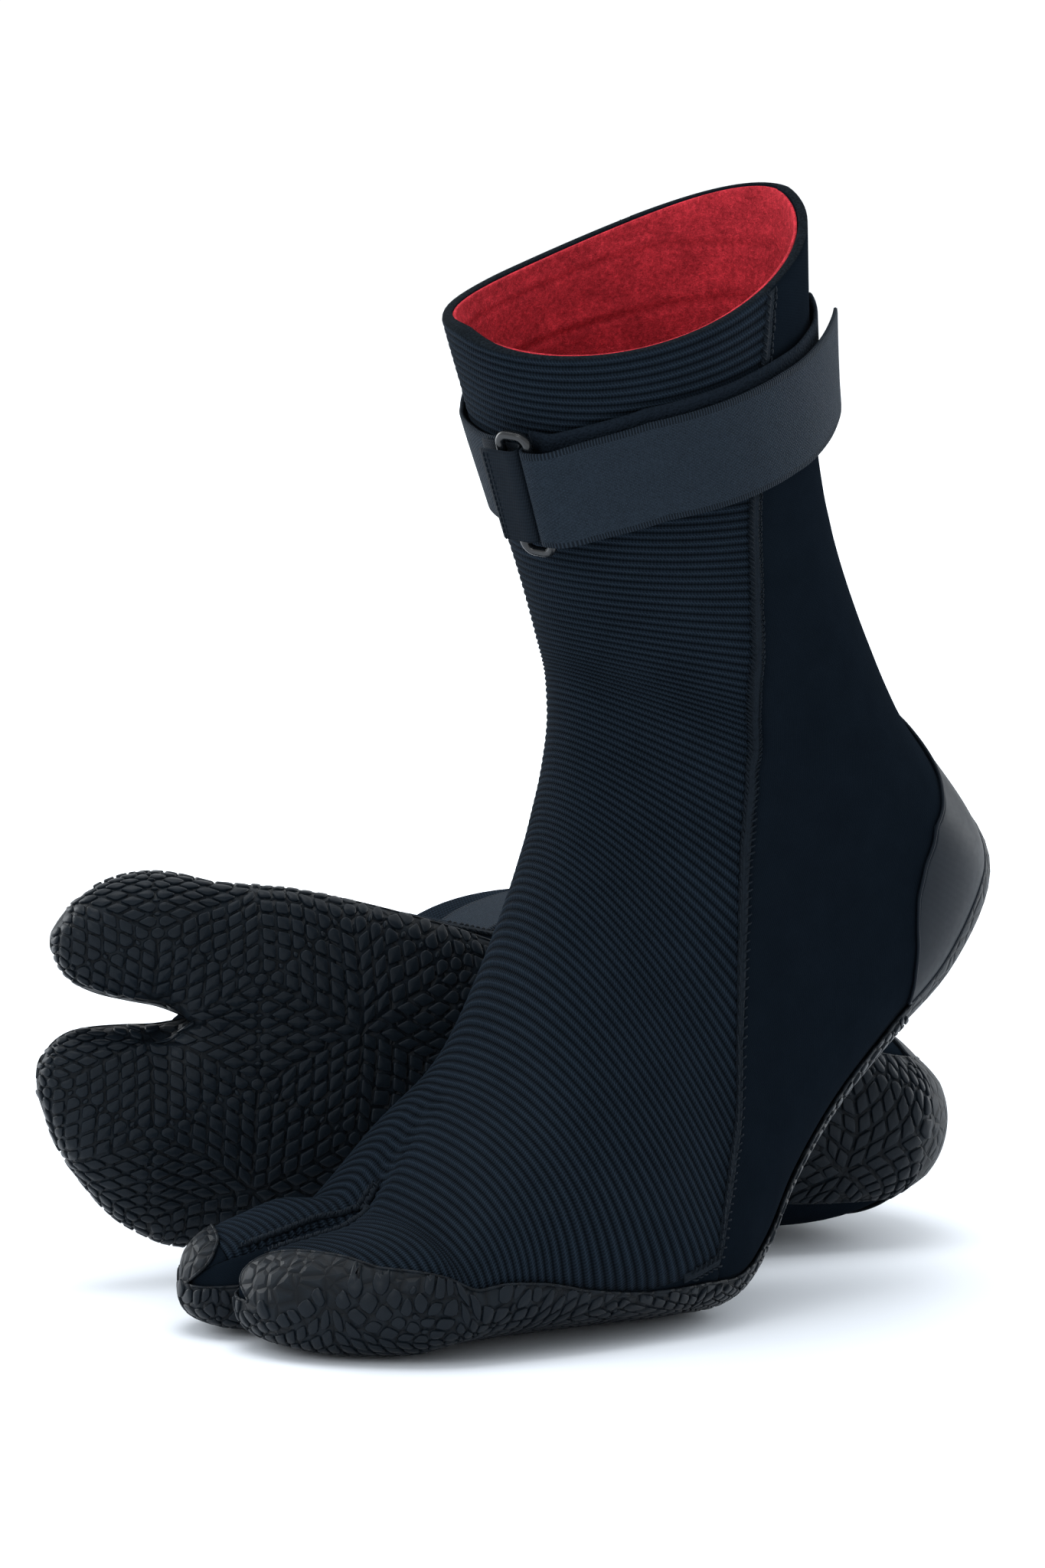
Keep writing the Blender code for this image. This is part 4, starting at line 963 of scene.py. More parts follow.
def cuff_and_foot(prefix, boot, M):
    """The fabric panels, the lining and the seams."""
    q = 1
    cut = [.0]

    def rib(u, v, s, w):
        """How far the knit's face stands off the skin, mm."""
        wave = .5 + .5 * np.cos(2 * pi * (v + .25 * ripple(u / 14, v / 30, 7)) / RIB)
        h = .40 * wave ** .75 - .24
        h = h + .10 * ripple(u / 17, v / 13, 3)
        near = np.exp(-(np.abs(u) / 1.25) ** 2) * smooth((.42 - s) / .3)       # the crease behind the cleft
        pucker = np.exp(-(np.abs(u) / 7.0) ** 2) * smooth((1.9 - s) / .8) * smooth((s + .9) / .3)
        h = h - .8 * near + .35 * pucker * np.cos(2 * pi * (v + .6 * np.abs(u)) / 3.1)
        return h

    # front panel
    sheet = Sheet()
    step = RIB / 5 * q
    rows = boot.stations(0, 16, step)
    lobe_rows = np.interp(np.linspace(0, .8, int(38 / (step * 1.0))), [0, .8], [0, .8])
    for side in (1, -1):
        boot.patch(sheet, side, rows, constant(0), line_a, 24 // q, rib)
        boot.lobe_patch(sheet, side, lobe_rows, constant(0), ramp(RAND_LOBE), 24 // q, rib)
    covering(prefix + "front_panel_knit", boot, sheet, lambda p, uv, h: -PANEL - 1.7 * smooth((uv[:, 1] - boot.along(16) + 3.2) / 1.0) * np.exp(-(uv[:, 0] / 13) ** 2),
             lambda p, uv, h: h, [M["knit"], M["foam"]], prefix + "front_panel", wall=4, bulge=.22,
             turn=boot.turn)
    # rear panel
    def soft(u, v, s, w):
        return .12 * ripple(u / 21, v / 17, 11) + .05 * ripple(u / 6, v / 5, 12) - .05

    sheet = Sheet()
    for side in (1, -1):
        low = boot.stations(3.4, 10.4, 2.0 * q)
        high = boot.stations(10.4, 16, 2.0 * q)
        boot.patch(sheet, side, low, line_a, ramp(RAND_HIND), 18, soft)
        boot.patch(sheet, side, high, line_a, ramp(RAND_HIND), 18, soft)
        boot.patch(sheet, side, high, ramp(RAND_HIND), constant(1), 4, soft)
    covering(prefix + "rear_panel_jersey", boot, sheet, lambda p, uv, h: -PANEL - 1.7 * smooth((uv[:, 1] - boot.along(16) + 3.2) / 1.0) * smooth((np.abs(uv[:, 0]) - 150) / 15),
             lambda p, uv, h: h, [M["jersey"], M["foam"]], prefix + "rear_panel", wall=4, bulge=.22, turn=boot.turn)
    # bottom panel
    sheet = Sheet()
    for side in (1, -1):
        boot.patch(sheet, side, boot.stations(0, 3.4, 3), line_a, constant(1), 12)
        s = boot.stations(3.4, 10.4, 3)
        both = lambda x: np.interp(x, *RAND_HIND)
        boot.patch(sheet, side, s, both, constant(1), 6)
        t = np.linspace(0, .8, 14)
        boot.lobe_patch(sheet, side, t, ramp(RAND_LOBE), constant(1), 12)
        t = np.linspace(.8, 1, 7)
        boot.lobe_patch(sheet, side, t, constant(.09), constant(1), 12)
        boot.lobe_patch(sheet, side, t, constant(0), constant(.09), 3)
    covering(prefix + "bottom_panel_jersey", boot, sheet, -PANEL, -.02, [M["jersey"], M["foam"]], prefix + "bottom_panel",
             turn=boot.turn)
    sheet = Sheet()
    boot.gusset_patch(sheet, np.linspace(-1, 1, 61), 0, 1, 12)
    covering(prefix + "toe_gusset_jersey", boot, sheet, -PANEL, 0, [M["jersey"], M["foam"]], prefix + "toe_gusset",
             turn=boot.turn)

    # lining
    def crease(u, v, s, w):
        h = np.zeros(np.shape(v))
        top = boot.along(16)
        for k, (down, depth) in enumerate(((9, .35), (21, .5), (34, .5), (52, .45), (71, .4))):
            line = top - down + 2.2 * ripple(u / 45, np.zeros_like(u), 20 + k)
            h = h - depth * np.exp(-((v - line) / .7) ** 2) + depth * .6 * np.exp(-((v - line - 1.8) / 1.4) ** 2)
        lumps = .14 * ripple(u / 2.6, v / 2.6, 31) + .10 * ripple(u / 1.1, v / 1.1, 32)
        return (h + lumps) * smooth((s - 8) / 2)

    sheet = Sheet()
    for side in (1, -1):
        boot.patch(sheet, side, boot.stations(0, 9, 4), constant(0), constant(1), 34)
        boot.patch(sheet, side, boot.stations(9, 12, 1.6 * q), constant(0), constant(1), 34)
        end = float(np.interp(boot.along(16) - .45, boot.run_at, boot.rows))
        boot.patch(sheet, side, boot.stations(12, end, .8 * q), constant(0), constant(1), 102 // q)
        boot.lobe_patch(sheet, side, np.linspace(0, 1, 12), constant(0), constant(1), 34)
    boot.gusset_patch(sheet, np.r_[-np.linspace(0, 1, 12)[::-1], np.linspace(0, 1, 12)[1:]], 0, 1, 8)
    # the plush face is the inner one
    p, uv, h, tris = sheet.done()
    n = vertex_normals(p, tris) * boot.turn
    if boot.turn < 0:
        tris = tris[:, ::-1]
    inner = LINING_IN + np.interp(p[:, 2] * 0 + 1, [0, 1], [0, 0])
    depth = crease(uv[:, 0], uv[:, 1], np.interp(uv[:, 1], boot.run_at, boot.rows), uv[:, 0])
    points, faces, uvs = shell(p, n, uv, tris, inner - depth, LINING_OUT, 0.0, 3, .12)
    piece(prefix + "lining_plush", [(points, faces, uvs)], boot.placed, [M["plush"]], boot.body_name,
          nodes=[prefix + "lining"])

    # seams
    for side, name in ((1, "lateral_seam"), (-1, "medial_seam")):
        v = np.arange(boot.along(2.75), boot.along(15.97), .7)
        s = np.interp(v, boot.run_at, boot.rows)
        per = np.interp(s, boot.rows, boot.round[side])
        c = np.linspace(-1, 1, 11)
        rings_top, rings_low = [], []
        half = 1.75 + .16 * ripple(v / 2.2, v * 0, 41) + .1 * ripple(v / .9, v * 0, 42)
        share = line_a(s)[:, None] + c[None] * half[:, None] / per[:, None]
        pt, nn = boot.surface(s[:, None] + 0 * share, side * share)
        dome = (1 - np.abs(c) ** 3.2)[None] * (.62 + .12 * ripple(v / 1.3, v * 0, 43))[:, None]
        groove = -.18 * np.exp(-(c / .16) ** 2)[None]
        top = pt + nn * (GAP * .2 + dome + groove)[..., None]
        low = pt + nn * (-.25)
        ring = np.concatenate([top, low[:, ::-1]], axis=1)
        uv = np.stack([np.broadcast_to(v[:, None], ring.shape[:2]),
                       np.broadcast_to(np.r_[c, c[::-1]] * 1.75, ring.shape[:2])], -1)
        lines, radii = stitch_rows(boot, side, 2.9, 15.93, 1.55, 1.55, 1.9, 1.0, .27, .38)
        tp, tf = tubes(lines, radii, 6)
        tuv = np.zeros((len(tp), 2))
        tuv[:, 0] = np.arange(len(tp)) % 6 * .3
        piece(prefix + name + "_stitched", [strip(ring, uv), (tp, tf, tuv)], boot.placed, [M["thread"]], boot.body_name,
              nodes=[prefix + name])
    # the two gathered edges of the crease that runs back from the cleft
    lines, radii, length = [], [], 0
    for side in (1, -1):
        t = np.linspace(.72, 0, 40)
        on_lobe = boot.lobe(side, t, .035)
        deep = boot.lobe(side, t, .10)
        s = np.linspace(0.02, .34, 24)
        per = np.interp(s, boot.rows, boot.round[side])
        off = 1.5 * smooth((.5 - s) / .4) + .1
        p, nn = boot.surface(s, side * off / per)
        line = np.concatenate([on_lobe[:-1], p + nn * .35])
        n2 = np.concatenate([np.broadcast_to([0, 0, 1.0], (len(t) - 1, 3)), nn])
        d = np.r_[0, np.cumsum(np.linalg.norm(np.diff(line, axis=0), axis=1))]
        at = np.linspace(0, d[-1], 260)
        line = np.stack([np.interp(at, d, line[:, k]) for k in range(3)], 1)
        n2 = np.stack([np.interp(at, d, n2[:, k]) for k in range(3)], 1)
        k = np.ones(9) / 9
        line[4:-4] = np.stack([np.convolve(line[:, a], k, "valid") for a in range(3)], 1)
        bead = .5 + .5 * np.cos(2 * pi * at / 2.7)
        line += n2 * (.15 + .28 * bead[:, None])
        r = (.72 + .34 * bead) * np.clip(np.minimum(at / 5, (d[-1] - at) / 4), .25, 1)
        lines.append(line)
        radii.append(r)
    tp, tf = tubes(np.array(lines), np.array(radii), 12)
    tuv = np.stack([np.repeat(np.tile(at, 2), 12), np.tile(np.arange(12) * .45, 520)], 1)
    # slanted threads over those edges
    small, small_r = [], []
    for line, side in zip(lines, (1, -1)):
        for j in range(8, 250, 6):
            c0 = line[j]
            tangent = line[min(j + 3, 259)] - line[max(j - 3, 0)]
            tangent /= np.linalg.norm(tangent)
            up = np.array([0, 0, 1.0])
            up -= tangent * np.dot(up, tangent)
            up /= np.linalg.norm(up)
            across = np.cross(tangent, up)
            a = np.linspace(-1.25, 1.25, 6)
            small.append(c0 + np.outer(np.sin(a), across) * 1.05 + np.outer(np.cos(a), up) * .95 + np.outer(a * .5, tangent))
            small_r.append(np.array([.16, .21, .23, .23, .21, .16]))
    sp, sf = tubes(np.array(small), np.array(small_r), 6)
    piece(prefix + "cleft_stitching", [(tp, tf, tuv), (sp, sf)], boot.placed, [M["thread"]], boot.body_name)


def sole_thickness(boot, side, s, w):
    a = line_e(s)
    share = (w - a) / np.maximum(1 - a, 1e-6)
    fore = np.clip((share - .30) / .35, 0, 1)
    hind = np.clip(share * 2.4, 0, 1)
    k = smooth((s - 2.4) / 2.2)
    return RUBBER_SIDE + (RUBBER_SOLE - RUBBER_SIDE) * (fore * (1 - k) + hind * k)


def chains(edges):
    """Border edges as closed loops of vertices."""
    follow = {}
    for a, b in edges:
        follow.setdefault(int(a), []).append(int(b))
    loops = []
    while follow:
        start = next(iter(follow))
        loop = [start]
        while True:
            here = loop[-1]
            if here not in follow:
                break
            nxt = follow[here].pop()
            if not follow[here]:
                del follow[here]
            if nxt == start:
                break
            loop.append(nxt)
        if len(loop) > 8:
            loops.append(np.array(loop))
    return loops


def lip(p, n, uv, edges, h, radius=.42, drop=.55):
    """A thin rounded lip that follows the border."""
    parts = []
    for loop in chains(edges):
        q, m, top = p[loop], n[loop], h[loop]
        d = np.r_[0, np.cumsum(np.linalg.norm(np.diff(np.vstack([q, q[:1]]), axis=0), axis=1))]
        count = int(d[-1] / .9)
        at = np.linspace(0, d[-1], count + 1)[:-1]
        closed = lambda a: np.stack([np.interp(at, d, np.r_[a[:, k], a[:1, k]]) for k in range(3)], 1)
        line, nn = closed(q), closed(m)
        k = np.ones(5) / 5
        pad = np.vstack([line[-2:], line, line[:2]])
        line = np.stack([np.convolve(pad[:, a], k, "valid") for a in range(3)], 1)
        hh = np.interp(at, d, np.r_[top, top[:1]])
        line = line + nn * (GAP + hh - TREAD * (drop > .2) - radius * .55 + .12)[:, None]
        ring = np.vstack([line, line[:1]])
        nr = np.vstack([nn, nn[:1]])
        tp, tf = tubes(ring[None], np.full((1, len(ring)), radius), 8, nr[None])
        parts.append((tp, tf, np.stack([np.repeat(np.arange(len(ring)) * .9, 8), np.tile(np.arange(8) * .4, len(ring))], 1)))
    return parts


def strap_set(prefix, boot, M):
    strap = Strap(boot)
    run, first, last, rest_on, bar = strap.run, strap.run[0], strap.run[-1], strap.rest_on, strap.bar
    body = boot.body_name
    low = rest_on + WEB / 2
    xs = np.linspace(first + 9, -1.0, 40)
    piece(prefix + "strap_base_webbing", [band_parts(strap, [(x, low) for x in xs], STRAP_HALF, WEB, ripple_by=.12)],
          boot.placed, [M["strap"]], body, nodes=[prefix + "strap_base"])
    xs = np.linspace(RING_BARS - 1.4, last - 9, 60)
    piece(prefix + "strap_under_loop", [band_parts(strap, [(x, low) for x in xs], STRAP_HALF, WEB, shift=boot.under_shift,
                                                   ripple_by=.2)],
          boot.placed, [M["loop"]], body, nodes=[prefix + "strap_under"])
    turn = [(5.0 - 1.4 + 1.9 * cos(a), bar + (RING_WIRE + GAP + .45) * sin(a)) for a in np.linspace(-pi / 2, pi / 2, 9)]
    leg, flap = bar - (RING_WIRE + GAP + .45), bar + (RING_WIRE + GAP + .45)
    path = [(-7.5, leg), (-3, leg), (.5, leg)] + turn + [(.5, flap), (-3, flap), (-5.2, flap - .2)]
    tab = band_parts(strap, path, STRAP_HALF - .4, .9, step=.45)
    # the stitched fold beside the ring
    lines, radii = [], []
    for x in (-4.3, -3.3):
        v = np.arange(-STRAP_HALF + 1.4, STRAP_HALF - 1.2, 1.75)
        for k, vv in enumerate(v):
            d = np.linspace(-.72, .72, 5)
            pts = strap.point(np.full(5, x), vv + d, flap + .45 + .2 * np.cos(d / .72 * pi / 2) - .08)
            lines.append(pts)
            radii.append(np.array([.14, .2, .22, .2, .14]))
    tp, tf = tubes(np.array(lines), np.array(radii), 6)
    piece(prefix + "ring_tab_webbing", [tab, (tp, tf)], boot.placed, [M["webbing"], M["thread"]], body,
          nodes=[prefix + "ring_tab"], slots=[0, 1])
    # the ring
    origin, fx, fv, out = strap.frame
    corner = 3.0
    outline = []
    for cx, cv, start in ((RING_BARS - corner, RING_HALF - corner, 0), (corner, RING_HALF - corner, pi / 2),
                          (corner, -RING_HALF + corner, pi), (RING_BARS - corner, -RING_HALF + corner, 3 * pi / 2)):
        for a in np.linspace(start, start + pi / 2, 13):
            outline.append((cx + corner * cos(a), cv + corner * sin(a)))
        outline.append(None)
    flat = [o for o in outline if o is not None]
    flat = np.array(flat)
    nxt, prv = np.roll(flat, -1, 0), np.roll(flat, 1, 0)
    t = nxt - prv
    t /= np.linalg.norm(t, axis=1)[:, None]
    side_on = fx[None] * t[:, 1:2] - fv[None] * t[:, 0:1]
    c = origin + fx * (flat[:, :1] - RING_BARS / 2) + fv * flat[:, 1:]
    a = np.linspace(0, 2 * pi, 21)[:-1]
    # a slightly squared wire
    ca = np.sign(np.cos(a)) * np.abs(np.cos(a)) ** .8
    sa = np.sign(np.sin(a)) * np.abs(np.sin(a)) ** .8
    wire = c[:, None] + RING_WIRE * .97 * (side_on[:, None] * ca[None, :, None] + out * sa[None, :, None])
    k, m = wire.shape[:2]
    ids = np.arange(k * m).reshape(k, m)
    r1, r2, r3 = np.roll(ids, -1, 1), np.roll(np.roll(ids, -1, 1), -1, 0), np.roll(ids, -1, 0)
    quads = np.stack([ids, r1, r2, r3], -1).reshape(-1, 4)
    tris = np.concatenate([quads[:, [0, 1, 2]], quads[:, [0, 2, 3]]])
    piece(prefix + "ring_moulded", [(wire.reshape(-1, 3), tris)], boot.placed, [M["ring"]], prefix + "ring_link",
          nodes=[prefix + "ring"])
    # the tail
    radius = RING_WIRE + GAP + WEB / 2
    tail = [(RING_BARS + radius * cos(a), bar + radius * sin(a)) for a in np.linspace(radians(245), radians(80), 12)]
    rest = rest_on + WEB + GAP + .8 + GAP + WEB / 2
    lift_from, stop = last * .72, last * .80 + 16
    for x in np.linspace(RING_BARS + 8, stop, 28):
        away = max(0.0, x - lift_from)
        tail.append((x, rest + (bar + radius - .3 - rest) * np.exp(-((x - RING_BARS - 2) / 9.0) ** 2) + .0062 * away ** 2))
    parts = [band_parts(strap, tail, STRAP_HALF, WEB, across=17, step=.8, clip=2.6, ripple_by=.10)]
    piece(prefix + "strap_tail_webbing", parts, boot.placed, [M["strap"]], prefix + "strap_end",
          nodes=[prefix + "strap_tail"])
    patch = rest_on + WEB + GAP + .4
    xs = np.linspace(last * .38, last * .70, 20)
    parts = [band_parts(strap, [(x, patch) for x in xs], STRAP_HALF - 1.5, .7)]
    gx, gv = np.meshgrid(np.arange(xs[0] + 1, xs[-1] - .8, 1.25), np.arange(-STRAP_HALF + 2.4, STRAP_HALF - 2.2, 1.25), indexing="ij")
    a = np.linspace(0, 1, 5)
    hook = strap.point(gx.reshape(-1, 1) + .38 * np.sin(a * pi)[None], gv.reshape(-1, 1) + 0 * a[None],
                       patch - .3 - .55 * np.sin(a * pi * .62)[None])
    tp, tf = tubes(hook, np.full(hook.shape[:2], .09), 4)
    piece(prefix + "hook_patch_hooks", parts + [(tp, tf)], boot.placed, [M["hook"]], prefix + "strap_end",
          nodes=[prefix + "hook_patch"])
    # the anchor patch
    station = 14.44
    rows = [(-1 if k < 0 else 1) * (1 - .028 * abs(k)) for k in np.linspace(-1, 1, 17)]
    rings = []
    c = np.linspace(-1, 1, 13)
    for ww in rows:
        step = np.linalg.norm(boot.surface(station + .1, ww)[0] - boot.surface(station - .1, ww)[0]) / .2
        p, _ = boot.surface(station + c * 16 / step, np.full(13, ww))
        nn = boot.surface(station, ww)[1]
        rings.append(np.concatenate([p + nn * (2.1 - .25 * np.abs(c[:, None]) ** 8), (p + nn * .35)[::-1]]))
    rings = np.array(rings)
    uv = np.stack([np.broadcast_to(np.linspace(0, 6, 17)[:, None], rings.shape[:2]),
                   np.broadcast_to(np.r_[c, c[::-1]] * 13.5, rings.shape[:2])], -1)
    piece(prefix + "strap_anchor_webbing", [strip(rings, uv)], boot.placed, [M["webbing"]], body,
          nodes=[prefix + "strap_anchor"])
    return strap


# ---- the tread --------------------------------------------------------------
TREAD = .75
STAR = 6.5


def direction(degrees):
    return np.array([cos(radians(degrees)), sin(radians(degrees))])


def tread_cells():
    """The pads' outlines on the flattened sole, in mm (q, y), each with the groove to leave along every edge."""
    cells, seen = [], set()

    def put(corners, lines=()):
        corners = np.array(corners)
        q = corners @ np.array([[5.351, -.6095], [-.4414, -4.3356]]) + np.array([89.02, -14.49])
        c = q.mean(0)
        if not (-42 < c[0] < 345 and -82 < c[1] < 82):
            return
        key = tuple(np.round(c, 1))
        if key in seen:
            return
        seen.add(key)
        cells.append((q, [.56 if k in lines else .36 for k in range(len(q))]))

    for m in range(-5, 9):
        for n in range(-6, 7):
            star = np.array([m * sqrt(3) * STAR + n * sqrt(3) * STAR / 2, n * 1.5 * STAR])
            for k in range(6):
                e1, e2 = direction(30 + 60 * k), direction(90 + 60 * k)

                def at(a, b):
                    return star + e1 * a + e2 * b

                for i in range(7):
                    for j in range(7 - i):
                        edge = ([0] if j == 0 else []) + ([len((0, 0, 0, 0)) - 1] if i == 0 else [])
                        if i + j <= 4:
                            put([at(i, j), at(i + 1, j), at(i + 1, j + 1), at(i, j + 1)], edge)
                        elif i + j == 5:
                            put([at(i, j), at(i + 1, j), at(i + 1, j + .5), at(i + .5, j + 1), at(i, j + 1)],
                                ([0] if j == 0 else []) + ([4] if i == 0 else []))
                        elif 1 <= i <= 5:
                            put([at(i, j), at(i + .5, j), at(i + .5, j + .5), at(i, j + .5)])
                put([star + e1 * STAR + direction(30 + 60 * v) * .5 for v in range(6)])
    return cells


def inset_outline(q, groove, radius=.75):
    """A convex outline drawn in along each edge, with rounded corners."""
    if np.cross(q[1] - q[0], q[2] - q[1]) < 0:
        q = q[::-1]
        groove = [groove[k] for k in range(len(q) - 2, -1, -1)] + [groove[-1]]
    k = len(q)
    lines = []
    for i in range(k):
        e = q[(i + 1) % k] - q[i]
        e = e / max(np.linalg.norm(e), 1e-9)
        lines.append((q[i] + np.array([-e[1], e[0]]) * groove[i], e))
    corners = []
    for i in range(k):
        (p0, e0), (p1, e1) = lines[i - 1], lines[i]
        cross = e0[0] * e1[1] - e0[1] * e1[0]
        if abs(cross) < .05:
            corners.append(p1)
            continue
        d = p1 - p0
        corners.append(p0 + e0 * (d[0] * e1[1] - d[1] * e1[0]) / cross)
    corners = np.array(corners)
    out = []
    for i in range(k):
        a, b, c = corners[i - 1], corners[i], corners[(i + 1) % k]
        ra = min(radius, .42 * np.linalg.norm(a - b)) / max(np.linalg.norm(a - b), 1e-9)
        rc = min(radius, .42 * np.linalg.norm(c - b)) / max(np.linalg.norm(c - b), 1e-9)
        s, e = b + (a - b) * ra, b + (c - b) * rc
        out += [s, (s + 2 * b + e) / 4, e]
    return np.array(out)


class Atlas:
    """The outsole's skin laid flat, so that one pattern can be put on both boots."""

    def __init__(self, boot):
        self.rows = boot.stations(0, 10.42, 2.2)
        self.sheet = outsole_sheet(boot, self.rows)
        p, uv, h, tris = self.sheet.done()
        n = vertex_normals(p, tris) * boot.turn
        index = self.sheet.index
        P, N = p[index], n[index]
        flat = N[:, :2] / np.maximum(np.linalg.norm(N[:, :2], axis=1), 1e-6)[:, None]
        self.flat = P[:, :2] + flat * (np.maximum(0, P[:, 2] - 3.5) * .85)[:, None]
        # the flanks unroll outwards by their own length, up to the rubber's edge
        first = 0
        whole, tip = smooth(self.rows / 1.4), np.zeros(24)
        for count, much in ((len(self.rows), whole), (len(self.rows), whole), (24, tip), (24, tip)):
            block = slice(first, first + count * 27)
            first += count * 27
            at, out = P[block].reshape(count, 27, 3), flat[block].reshape(count, 27, 2)
            widest = np.abs(at[:, :, 2] - 9).argmin(1)
            ahead = out[np.arange(count), widest]
            laid = at[:, :, :2].copy()
            for k in range(25, -1, -1):
                step = at[:, k] - at[:, k + 1]
                up = (at[:, k, 2] > 3.5)[:, None]
                laid[:, k] = laid[:, k + 1] + np.where(up, ahead * np.linalg.norm(step, axis=1)[:, None] * .85, step[:, :2])
            self.flat[block] += (laid.reshape(-1, 2) - self.flat[block]) * np.repeat(much, 27)[:, None]
        self.at = P
        self.up = P[:, 2]
        quads = np.concatenate(self.sheet.cells)
        group = np.array(self.sheet.group)[quads[:, 0]]
        side = self.sheet.wall
        self.trees = {}
        for name, wanted in (("flat", (0, 1, 2, 3)), ("L", (0, 2, 4)), ("M", (1, 3, 5))):
            use = quads[np.isin(group, wanted)]
            t = np.concatenate([use[:, [0, 1, 2]], use[:, [0, 2, 3]]])
            a = self.flat[t]
            area = np.abs(np.cross(a[:, 1] - a[:, 0], a[:, 2] - a[:, 0]))
            t = t[area > 1e-4]
            z = np.zeros(len(self.flat))
            verts = [Vector((x, y, 0)) for x, y in self.flat]
            self.trees[name] = (BVHTree.FromPolygons(verts, [tuple(int(i) for i in f) for f in t], all_triangles=True), t)

    def find(self, name, q):
        tree, t = self.trees[name]
        hit = tree.ray_cast(Vector((q[0], q[1], 5)), Vector((0, 0, -1)))
        if hit[0] is None:
            return None
        f = t[hit[2]]
        a, b, c = self.flat[f]
        m = np.array([[b[0] - a[0], c[0] - a[0]], [b[1] - a[1], c[1] - a[1]]])
        det = m[0, 0] * m[1, 1] - m[0, 1] * m[1, 0]
        d = np.asarray(q) - a
        u = (d[0] * m[1, 1] - d[1] * m[0, 1]) / det
        v = (m[0, 0] * d[1] - m[1, 0] * d[0]) / det
        return f, (1 - u - v, u, v)


def outsole_sheet(boot, rows):
    """The outsole's skin; group: 0, 1 the halves, 2, 3 the lobes, 4, 5 the wall of the cleft."""
    sheet = Sheet()
    sheet.group, sheet.wall, sheet.fade = [], None, []

    def body_height(side):
        return lambda u, v, s, w: sole_thickness(boot, side, s, w)

    for g, side in enumerate((1, -1)):
        before = sheet.count
        boot.patch(sheet, side, rows, line_e, constant(1), 26, body_height(side))
        f = np.linspace(0, 1, 27)[None] * (1 - line_e(rows))[:, None] * np.interp(rows, boot.rows, boot.round[side])[:, None]
        worn = .3 + .7 * smooth(np.abs(rows - 1.15) / 1.1) if side > 0 else 1 + 0 * rows
        sheet.fade.append((f * worn[:, None]).ravel())
        sheet.group += [g] * (sheet.count - before)
    low = lambda x: np.interp(x, *RAND_LOBE) * (x <= .8) + .09 * (x > .8) * (1 - smooth((x - .8) / .12))
    t = np.linspace(0, 1, 24)
    for g, side in ((2, 1), (3, -1)):
        before = sheet.count

        def lobe_height(u, v, s, w):
            tt = -s
            share = (w - low(tt)) / np.maximum(1 - low(tt), 1e-6)
            return RUBBER_SIDE + (RUBBER_SOLE - RUBBER_SIDE) * np.clip((share - .30) / .35, 0, 1) * np.interp(
                tt, [0, .35, .6, .8, .93], [1, 1, .85, .4, 0])

        boot.lobe_patch(sheet, side, t, low, constant(1), 26, lobe_height)
        f = np.linspace(0, 1, 27)[None] * (1 - low(t))[:, None] * np.maximum(np.interp(t, boot.t, boot.lobe_round[side]), 12)[:, None]
        sheet.fade.append(f.ravel())
        sheet.group += [g] * (sheet.count - before)
    for g, tt in ((4, -t[::-1]), (5, t)):
        before = sheet.count
        boot.gusset_patch(sheet, tt, .5, 1, 6)
        sheet.fade.append(np.broadcast_to(np.linspace(0, 1, 7)[None] * 12, (len(tt), 7)).ravel())
        sheet.group += [g] * (sheet.count - before)
    sheet.fade = np.concatenate(sheet.fade)
    return sheet


